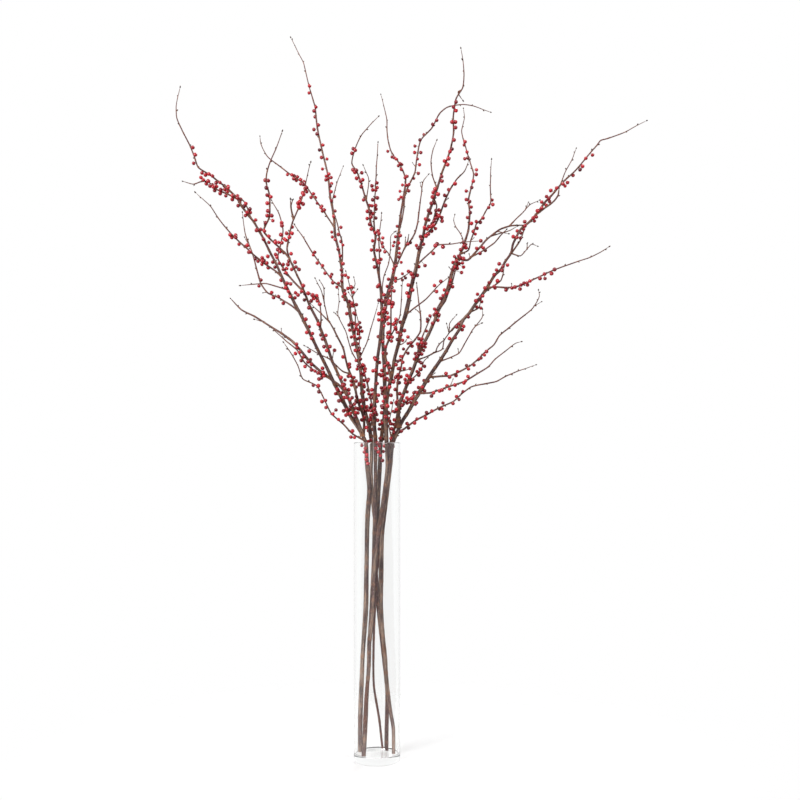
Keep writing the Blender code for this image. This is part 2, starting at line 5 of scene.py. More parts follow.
import bpy
import numpy as np
from mathutils import Matrix, Vector


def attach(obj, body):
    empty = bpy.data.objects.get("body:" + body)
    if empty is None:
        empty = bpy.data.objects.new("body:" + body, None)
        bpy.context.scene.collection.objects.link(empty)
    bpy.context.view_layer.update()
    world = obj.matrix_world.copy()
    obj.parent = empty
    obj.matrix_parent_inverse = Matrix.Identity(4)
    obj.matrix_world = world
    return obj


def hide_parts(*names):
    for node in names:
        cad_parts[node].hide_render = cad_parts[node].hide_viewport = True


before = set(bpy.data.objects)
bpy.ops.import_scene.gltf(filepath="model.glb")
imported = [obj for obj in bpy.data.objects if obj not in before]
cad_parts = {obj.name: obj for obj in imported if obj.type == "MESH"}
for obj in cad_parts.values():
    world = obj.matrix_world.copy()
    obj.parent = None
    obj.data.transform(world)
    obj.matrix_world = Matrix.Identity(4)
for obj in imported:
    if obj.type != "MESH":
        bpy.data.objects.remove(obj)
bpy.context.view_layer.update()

print("solids loaded:", ", ".join(sorted(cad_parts)))

tau = math.tau
mm = 0.001


# camera, floor and light

studio = {
    "eyeAcross": 0.04416,         # the camera stands a little right of the vase, level with its rim
    "eyeHeight": 0.610,
    "eyeDistance": 2.07,
    "lens": 48.52,
    "shift": 0.053,
    "backdrop": (1.0, 1.0, 1.0),
    "skyLight": 0.40,
    "brightSide": (-0.60, -0.40, 0.70),
    "skyRange": (0.25, 1.75),     # its strength from the dark side to the bright side
    "mirrored": (-0.75, 0.25, 0.04, 0.95),   # how white sharp reflections are, from front to back
    "mirroredBelow": (-0.66, -0.36, 0.95, 0.0),   # the same, looking down
    "lightsAim": (0, 0, 0.8),
}

# place, size across and up, power
softBoxes = {
    "keyLight": ((-1.9, -2.3, 2.1), (1.3, 2.0), 82.0),
    "fillLight": ((2.4, -1.6, 2.2), (0.9, 1.4), 34.0),
    "backLight": ((0.7, 1.9, 3.0), (1.6, 1.2), 34.0),
}

paleFloor = {
    "colour": (0.97, 0.97, 0.97),
    "roughness": 0.6,
    "shine": 0.2,
    "fade": (0.12, 0.75),         # from full to gone, in metres out from the middle
    "past": 1.05,                 # how far the mesh goes beyond that
    "middle": (0.03, 0, -0.0004),   # just clear of the glass
    "sides": 96,
    "rings": 24,
}


def nodeIn(tree, kind, **values):
    node = tree.nodes.new(kind)
    for key, value in values.items():
        setattr(node, key, value)
    return node


def wire(tree, source, target):
    tree.links.new(source, target)


def feed(tree, value, target):
    # another node's socket is wired in, a number or a colour is set as it is
    if isinstance(value, bpy.types.NodeSocket):
        wire(tree, value, target)
    else:
        target.default_value = value


def combine(tree, how, first, second):
    node = nodeIn(tree, "ShaderNodeMath", operation=how)
    feed(tree, first, node.inputs[0])
    feed(tree, second, node.inputs[1])
    return node.outputs[0]


def ranged(tree, value, low, high, first, last, curve="LINEAR"):
    node = nodeIn(tree, "ShaderNodeMapRange", interpolation_type=curve)
    feed(tree, value, node.inputs["Value"])
    for label, end in (("From Min", low), ("From Max", high), ("To Min", first), ("To Max", last)):
        feed(tree, end, node.inputs[label])
    return node.outputs["Result"]


def greyOf(tree, value):
    grey = nodeIn(tree, "ShaderNodeCombineColor")
    for channel in ("Red", "Green", "Blue"):
        wire(tree, value, grey.inputs[channel])
    return grey.outputs["Color"]


def mixColours(tree, factor, first, second, how="MIX"):
    # the colours are three numbers each, or sockets
    mix = nodeIn(tree, "ShaderNodeMix", data_type="RGBA", blend_type=how)
    for slot, value in ((0, factor), (6, first), (7, second)):
        feed(tree, (*value, 1) if isinstance(value, tuple) else value, mix.inputs[slot])
    return mix.outputs[2]


def makeCamera():
    lens = bpy.data.cameras.new("camera")
    lens.lens = studio["lens"]
    lens.shift_y = studio["shift"]
    eye = bpy.data.objects.new("camera", lens)
    eye.location = (studio["eyeAcross"], -studio["eyeDistance"], studio["eyeHeight"])
    eye.rotation_euler = (math.radians(90), 0, 0)
    bpy.context.scene.collection.objects.link(eye)
    bpy.context.scene.camera = eye


def makeSky():
    # pure white behind the object, softer and darker for what lights it
    world = bpy.data.worlds.new("sky")
    world.use_nodes = True
    tree = world.node_tree
    tree.nodes.clear()
    path = nodeIn(tree, "ShaderNodeLightPath")
    place = nodeIn(tree, "ShaderNodeTexCoord")
    axes = nodeIn(tree, "ShaderNodeSeparateXYZ")
    wire(tree, place.outputs["Generated"], axes.inputs[0])
    behind = ranged(tree, axes.outputs["Y"], *studio["mirrored"], "SMOOTHSTEP")
    below = ranged(tree, axes.outputs["Z"], *studio["mirroredBelow"], "SMOOTHSTEP")
    either = combine(tree, "MAXIMUM", behind, below)
    mirrored = combine(tree, "MULTIPLY", path.outputs["Is Singular Ray"], either)
    straight = combine(tree, "LESS_THAN", path.outputs["Glossy Depth"], 0.5)
    through = combine(tree, "MULTIPLY", path.outputs["Is Transmission Ray"], straight)
    past = combine(tree, "MAXIMUM", through, mirrored)
    seen = combine(tree, "MAXIMUM", past, path.outputs["Is Camera Ray"])
    white = nodeIn(tree, "ShaderNodeBackground")
    white.inputs["Color"].default_value = (*studio["backdrop"], 1)
    soft = nodeIn(tree, "ShaderNodeBackground")
    soft.inputs["Strength"].default_value = studio["skyLight"]
    facing = nodeIn(tree, "ShaderNodeVectorMath", operation="DOT_PRODUCT")
    wire(tree, place.outputs["Generated"], facing.inputs[0])
    facing.inputs[1].default_value = Vector(studio["brightSide"]).normalized()
    shade = ranged(tree, facing.outputs["Value"], -1.0, 1.0, *studio["skyRange"])
    wire(tree, greyOf(tree, shade), soft.inputs["Color"])
    both = nodeIn(tree, "ShaderNodeMixShader")
    wire(tree, seen, both.inputs["Fac"])
    wire(tree, soft.outputs[0], both.inputs[1])
    wire(tree, white.outputs[0], both.inputs[2])
    out = nodeIn(tree, "ShaderNodeOutputWorld")
    wire(tree, both.outputs[0], out.inputs["Surface"])
    bpy.context.scene.world = world
    bpy.context.scene.view_settings.view_transform = "Standard"


def softBox(name, place, size, power):
    lamp = bpy.data.lights.new(name, "AREA")
    lamp.shape = "RECTANGLE"
    lamp.size, lamp.size_y = size
    lamp.energy = power
    box = bpy.data.objects.new(name, lamp)
    box.location = place
    toward = Vector(studio["lightsAim"]) - Vector(place)
    box.rotation_euler = toward.to_track_quat("-Z", "Y").to_euler()
    bpy.context.scene.collection.objects.link(box)


def makeFloor():
    # a pale round floor that fades into the white towards its edge
    middle = Vector(paleFloor["middle"])
    sides, rings = paleFloor["sides"], paleFloor["rings"]
    verts, faces = [middle], []
    for ring in range(1, rings + 1):
        reach = paleFloor["fade"][1] * paleFloor["past"] * ring / rings
        for side in range(sides):
            turn = tau * side / sides
            verts.append(middle + Vector((reach * math.cos(turn), reach * math.sin(turn), 0)))
    for side in range(sides):
        after = (side + 1) % sides
        faces.append((0, 1 + side, 1 + after))
        for ring in range(rings - 1):
            low = 1 + ring * sides
            faces.append((low + side, low + sides + side, low + sides + after, low + after))
    mesh = bpy.data.meshes.new("floor")
    mesh.from_pydata(verts, [], faces)
    floor = bpy.data.objects.new("floor", mesh)
    bpy.context.scene.collection.objects.link(floor)
    material = bpy.data.materials.new("paleFloor")
    material.use_nodes = True
    tree = material.node_tree
    shader = tree.nodes["Principled BSDF"]
    shader.inputs["Base Color"].default_value = (*paleFloor["colour"], 1)
    shader.inputs["Roughness"].default_value = paleFloor["roughness"]
    shader.inputs["Specular IOR Level"].default_value = paleFloor["shine"]
    place = nodeIn(tree, "ShaderNodeTexCoord")
    reach = nodeIn(tree, "ShaderNodeVectorMath", operation="LENGTH")
    wire(tree, place.outputs["Object"], reach.inputs[0])
    fade = ranged(tree, reach.outputs["Value"], *paleFloor["fade"], 1.0, 0.0, "SMOOTHSTEP")
    wire(tree, fade, shader.inputs["Alpha"])
    mesh.materials.append(material)
    floor.visible_glossy = False     # the glass doesn't mirror it


makeCamera()
makeSky()
for lampName, lampValues in softBoxes.items():
    softBox(lampName, *lampValues)
makeFloor()
print("studio ready")


# shared effects

def makeGroup(name, inputs, outputs):
    group = bpy.data.node_groups.new(name, "ShaderNodeTree")
    for label, kind, value in inputs:
        socket = group.interface.new_socket(label, in_out="INPUT", socket_type=kind)
        if value is not None:
            socket.default_value = value
    for label, kind in outputs:
        group.interface.new_socket(label, in_out="OUTPUT", socket_type=kind)
    entry = nodeIn(group, "NodeGroupInput")
    leave = nodeIn(group, "NodeGroupOutput")
    return group, entry.outputs, leave.inputs


def makeTwoTone():
    # slow patches of one colour in another
    group, given, gives = makeGroup(
        "twoTone",
        [("Vector", "NodeSocketVector", None), ("Scale", "NodeSocketFloat", 60.0),
         ("Share", "NodeSocketFloat", 0.5), ("Softness", "NodeSocketFloat", 0.15),
         ("First", "NodeSocketColor", None), ("Second", "NodeSocketColor", None)],
        [("Color", "NodeSocketColor"), ("Mask", "NodeSocketFloat")])
    noise = nodeIn(group, "ShaderNodeTexNoise")
    noise.inputs["Detail"].default_value = 3.0
    wire(group, given["Vector"], noise.inputs["Vector"])
    wire(group, given["Scale"], noise.inputs["Scale"])
    low = combine(group, "SUBTRACT", given["Share"], given["Softness"])
    high = combine(group, "ADD", given["Share"], given["Softness"])
    mask = ranged(group, noise.outputs["Fac"], low, high, 0.0, 1.0, "SMOOTHSTEP")
    wire(group, mixColours(group, mask, given["First"], given["Second"]), gives["Color"])
    wire(group, mask, gives["Mask"])
    return group


def drawnAlong(group, given):
    # the group's Vector, scaled along the wood by its Stretch
    parts = nodeIn(group, "ShaderNodeSeparateXYZ")
    wire(group, given["Vector"], parts.inputs[0])
    drawn = nodeIn(group, "ShaderNodeCombineXYZ")
    wire(group, parts.outputs["X"], drawn.inputs["X"])
    wire(group, parts.outputs["Y"], drawn.inputs["Y"])
    wire(group, combine(group, "MULTIPLY", parts.outputs["Z"], given["Stretch"]), drawn.inputs["Z"])
    return drawn.outputs[0]


def makeGrain():
    # fine ridges that run along the wood
    group, given, gives = makeGroup(
        "woodGrain",
        [("Vector", "NodeSocketVector", None), ("Scale", "NodeSocketFloat", 900.0),
         ("Stretch", "NodeSocketFloat", 0.12)],
        [("Ridges", "NodeSocketFloat")])
    noise = nodeIn(group, "ShaderNodeTexNoise")
    noise.inputs["Detail"].default_value = 4.0
    noise.inputs["Roughness"].default_value = 0.6
    wire(group, drawnAlong(group, given), noise.inputs["Vector"])
    wire(group, given["Scale"], noise.inputs["Scale"])
    wire(group, noise.outputs["Fac"], gives["Ridges"])
    return group


def makeSpots():
    # small pale corky spots, a little longer than wide
    group, given, gives = makeGroup(
        "corkySpots",
        [("Vector", "NodeSocketVector", None), ("Scale", "NodeSocketFloat", 260.0),
         ("Size", "NodeSocketFloat", 0.24), ("Stretch", "NodeSocketFloat", 0.6)],
        [("Mask", "NodeSocketFloat")])
    cells = nodeIn(group, "ShaderNodeTexVoronoi")
    wire(group, drawnAlong(group, given), cells.inputs["Vector"])
    wire(group, given["Scale"], cells.inputs["Scale"])
    solid = combine(group, "MULTIPLY", given["Size"], 0.7)
    mask = ranged(group, cells.outputs["Distance"], solid, given["Size"], 1.0, 0.0, "SMOOTHSTEP")
    wire(group, mask, gives["Mask"])
    return group


twoTone = makeTwoTone()
woodGrain = makeGrain()
corkySpots = makeSpots()


def useGroup(tree, group, vector=None, **values):
    node = nodeIn(tree, "ShaderNodeGroup", node_tree=group)
    for label, value in values.items():
        node.inputs[label].default_value = value
    if vector is not None:
        wire(tree, vector, node.inputs["Vector"])
    return node


def attribute(tree, name):
    return nodeIn(tree, "ShaderNodeAttribute", attribute_name=name)


def newMaterial(name):
    material = bpy.data.materials.new(name)
    material.use_nodes = True
    tree = material.node_tree
    return material, tree, tree.nodes["Principled BSDF"]


def raised(tree, shader, height, distance, strength):
    bump = nodeIn(tree, "ShaderNodeBump")
    bump.inputs["Distance"].default_value = distance
    bump.inputs["Strength"].default_value = strength
    wire(tree, height, bump.inputs["Height"])
    wire(tree, bump.outputs["Normal"], shader.inputs["Normal"])


# materials

bark = {
    "stemGrey": (0.112, 0.061, 0.058),
    "stemPale": (0.365, 0.250, 0.192),
    # the grey and pale patches are partly the bark's own tones and partly painted light and shade, drawn
    # out along each stem
    "stemPatches": {"Scale": 170.0, "Softness": 0.12},
    "stemShare": (0.66, 0.36),       # where the pale patches begin, from the darkest stem to the palest
    "drawnOut": 0.12,                # the width of those patches as a share of their length
    "twigRed": (0.135, 0.044, 0.045),
    "twigBrown": (0.265, 0.112, 0.095),
    "twigPatches": {"Scale": 70.0, "Share": 0.52, "Softness": 0.14},
    "stemGirth": (0.25, 0.75),       # it turns from twig to stem between these
    "warm": (0.270, 0.105, 0.038),
    "warmPatches": {"Scale": 24.0, "Share": 0.60, "Softness": 0.05},
    # painted shade: dark streaks along the thick stems, partly bark furrows and partly the shade at each
    # stem's edges
    "shade": (0.030, 0.016, 0.016),
    "shadeStreaks": {"Scale": 420.0, "Stretch": 0.05},
    "shadeStreakRange": (0.40, 0.58, 0.72, 0.0),   # from and to of the ridges, then how dark at each
    "fork": (0.42, 0.170, 0.070),
    "tip": (0.20, 0.105, 0.080),
    # a darker band low on some stems
    "wet": (0.110, 0.036, 0.022),
    "spot": (0.36, 0.27, 0.20),
    "spots": {"Scale": 300.0, "Size": 0.22, "Stretch": 0.55},
    "share": {"warm": 0.5, "fork": 0.55, "tip": 0.6, "wet": 0.85, "spot": 0.7},
    "grain": {"Scale": 1100.0, "Stretch": 0.10},
    "grainRange": (0.3, 0.7),
    "grainLight": (0.45, 1.45),
    "roughness": (0.62, 0.85),
    "shine": 0.25,
    "bump": (0.0005, 0.9),           # distance, strength
}


def makeBark():
    material, tree, shader = newMaterial("bark")
    coord = attribute(tree, "barkCoord").outputs["Vector"]
    girth = attribute(tree, "girth").outputs["Fac"]
    pale = attribute(tree, "pale").outputs["Fac"]
    # grey and pale patches, partly the bark's own tones and partly painted light and shade, drawn out
    # along each stem
    drawnOut = nodeIn(tree, "ShaderNodeVectorMath", operation="MULTIPLY")
    wire(tree, coord, drawnOut.inputs[0])
    drawnOut.inputs[1].default_value = (1.0, 1.0, bark["drawnOut"])
    stems = useGroup(tree, twoTone, drawnOut.outputs[0], **bark["stemPatches"],
                     First=(*bark["stemGrey"], 1), Second=(*bark["stemPale"], 1))
    wire(tree, ranged(tree, pale, 0.0, 1.0, *bark["stemShare"]), stems.inputs["Share"])
    twigs = useGroup(tree, twoTone, coord, **bark["twigPatches"],
                     First=(*bark["twigRed"], 1), Second=(*bark["twigBrown"], 1))
    thick = ranged(tree, girth, *bark["stemGirth"], 0.0, 1.0)
    colour = mixColours(tree, thick, twigs.outputs["Color"], stems.outputs["Color"])
    warm = useGroup(tree, twoTone, coord, **bark["warmPatches"])
    share = combine(tree, "MULTIPLY", warm.outputs["Mask"], bark["share"]["warm"])
    colour = mixColours(tree, share, colour, bark["warm"])
    # painted shade: dark streaks along the thick stems, partly bark furrows and partly the shade at each
    # stem's edges
    shadeStreak = useGroup(tree, woodGrain, coord, **bark["shadeStreaks"])
    dark = ranged(tree, shadeStreak.outputs["Ridges"], *bark["shadeStreakRange"])
    colour = mixColours(tree, combine(tree, "MULTIPLY", dark, thick), colour, bark["shade"])
    for tint, value in (("fork", "knot"), ("tip", "young"), ("wet", "wet")):
        given = attribute(tree, value).outputs["Fac"]
        share = combine(tree, "MULTIPLY", given, bark["share"][tint])
        colour = mixColours(tree, share, colour, bark[tint])
    grain = useGroup(tree, woodGrain, coord, **bark["grain"]).outputs["Ridges"]
    light = ranged(tree, grain, *bark["grainRange"], *bark["grainLight"])
    colour = mixColours(tree, 1.0, colour, greyOf(tree, light), "MULTIPLY")
    spots = useGroup(tree, corkySpots, coord, **bark["spots"])
    dots = combine(tree, "MULTIPLY", spots.outputs["Mask"], bark["share"]["spot"])
    colour = mixColours(tree, dots, colour, bark["spot"])
    wire(tree, colour, shader.inputs["Base Color"])
    wire(tree, ranged(tree, grain, *bark["grainRange"], *bark["roughness"]), shader.inputs["Roughness"])
    shader.inputs["Specular IOR Level"].default_value = bark["shine"]
    raised(tree, shader, combine(tree, "ADD", grain, dots), *bark["bump"])
    return material


def twoColours(tree, shader, values, attributeName):
    # patches of two plain colours
    coord = attribute(tree, attributeName).outputs["Vector"]
    tone = useGroup(tree, twoTone, coord, **values["patches"],
                    First=(*values["first"], 1), Second=(*values["second"], 1))
    wire(tree, tone.outputs["Color"], shader.inputs["Base Color"])
    shader.inputs["Roughness"].default_value = values["roughness"]
    return tone


budScales = {
    "first": (0.045, 0.018, 0.016),
    "second": (0.13, 0.060, 0.040),
    "patches": {"Scale": 700.0, "Share": 0.52, "Softness": 0.1},
    "roughness": 0.6,
    "bump": (0.0002, 0.5),
}


def makeBudScales():
    material, tree, shader = newMaterial("budScales")
    tone = twoColours(tree, shader, budScales, "barkCoord")
    raised(tree, shader, tone.outputs["Mask"], *budScales["bump"])
    return material


cutWood = {
    "pale": (0.44, 0.34, 0.23),
    "ring": (0.27, 0.18, 0.11),
    "rings": {"Scale": 420.0, "Distortion": 1.2},
    "grain": {"Scale": 1500.0, "Stretch": 1.0},
    "roughness": 0.8,
    "bump": (0.0002, 0.6),
}


def makeCutWood():
    material, tree, shader = newMaterial("cutWood")
    coord = attribute(tree, "barkCoord").outputs["Vector"]
    rings = nodeIn(tree, "ShaderNodeTexWave", wave_type="RINGS", rings_direction="Z")
    for label, value in cutWood["rings"].items():
        rings.inputs[label].default_value = value
    wire(tree, coord, rings.inputs["Vector"])
    grain = useGroup(tree, woodGrain, coord, **cutWood["grain"])
    colour = mixColours(tree, rings.outputs["Fac"], cutWood["ring"], cutWood["pale"])
    wire(tree, colour, shader.inputs["Base Color"])
    shader.inputs["Roughness"].default_value = cutWood["roughness"]
    raised(tree, shader, grain.outputs["Ridges"], *cutWood["bump"])
    return material


berrySkin = {
    "bright": (0.60, 0.014, 0.028),
    "deep": (0.105, 0.003, 0.012),
    "blush": (0.34, 0.005, 0.014),
    "blushPatches": {"Scale": 260.0, "Share": 0.56, "Softness": 0.16},
    "blushShare": 0.35,
    "scar": (0.035, 0.012, 0.010),
    "roughness": (0.26, 0.8),        # on the skin, on the scar
    "coat": 0.35,
    "coatRoughness": 0.08,
    "bump": (0.0001, 0.12),
}


def makeBerrySkin():
    material, tree, shader = newMaterial("berrySkin")
    ripe = attribute(tree, "ripeness").outputs["Fac"]
    scar = attribute(tree, "scar").outputs["Fac"]
    coord = attribute(tree, "skinCoord").outputs["Vector"]
    colour = mixColours(tree, ripe, berrySkin["bright"], berrySkin["deep"])
    mottle = useGroup(tree, twoTone, coord, **berrySkin["blushPatches"]).outputs["Mask"]
    blush = combine(tree, "MULTIPLY", mottle, berrySkin["blushShare"])
    colour = mixColours(tree, blush, colour, berrySkin["blush"])
    colour = mixColours(tree, scar, colour, berrySkin["scar"])
    wire(tree, colour, shader.inputs["Base Color"])
    wire(tree, ranged(tree, scar, 0.0, 1.0, *berrySkin["roughness"]), shader.inputs["Roughness"])
    shader.inputs["Coat Weight"].default_value = berrySkin["coat"]
    shader.inputs["Coat Roughness"].default_value = berrySkin["coatRoughness"]
    raised(tree, shader, mottle, *berrySkin["bump"])
    return material


berryStalk = {
    "first": (0.16, 0.13, 0.045),
    "second": (0.20, 0.055, 0.035),
    "patches": {"Scale": 420.0, "Share": 0.5, "Softness": 0.2},
    "roughness": 0.6,
}


def makeBerryStalk():
    material, tree, shader = newMaterial("berryStalk")
    twoColours(tree, shader, berryStalk, "skinCoord")
    return material


clearGlass = {"colour": (0.994, 0.998, 0.996), "bend": 1.46, "roughness": 0.0}


def makeGlass():
    material, tree, shader = newMaterial("clearGlass")
    shader.inputs["Base Color"].default_value = (*clearGlass["colour"], 1)
    shader.inputs["Roughness"].default_value = clearGlass["roughness"]
    shader.inputs["IOR"].default_value = clearGlass["bend"]
    shader.inputs["Transmission Weight"].default_value = 1.0
    return material


barkMaterial = makeBark()
budMaterial = makeBudScales()
cutMaterial = makeCutWood()
berryMaterial = makeBerrySkin()
stalkMaterial = makeBerryStalk()
glassMaterial = makeGlass()
print("materials ready")


# what the photograph shows of the stems, in its own pixels, and the vase

drawing = {
    "unit": 0.00192,           # metres a pixel at the vase's axis
    "rimDown": 442.4,
    "axisAcross": 377.0,
    "eyeAcross": 400.0,
    "eyeDistance": 2.07,
    "sway": 0.0025,            # how far a route wanders to the front and back
    "swayRun": 0.02,
}

vase = {
    "height": 0.610,
    "radius": 0.0445,
    "wall": 0.004,
    "floor": 0.015,
    "cornerRound": 0.0015,
    "footRound": 0.002,
    "edge": 0.0005,            # from each bend to the ring beside it
    "sides": 160,
}
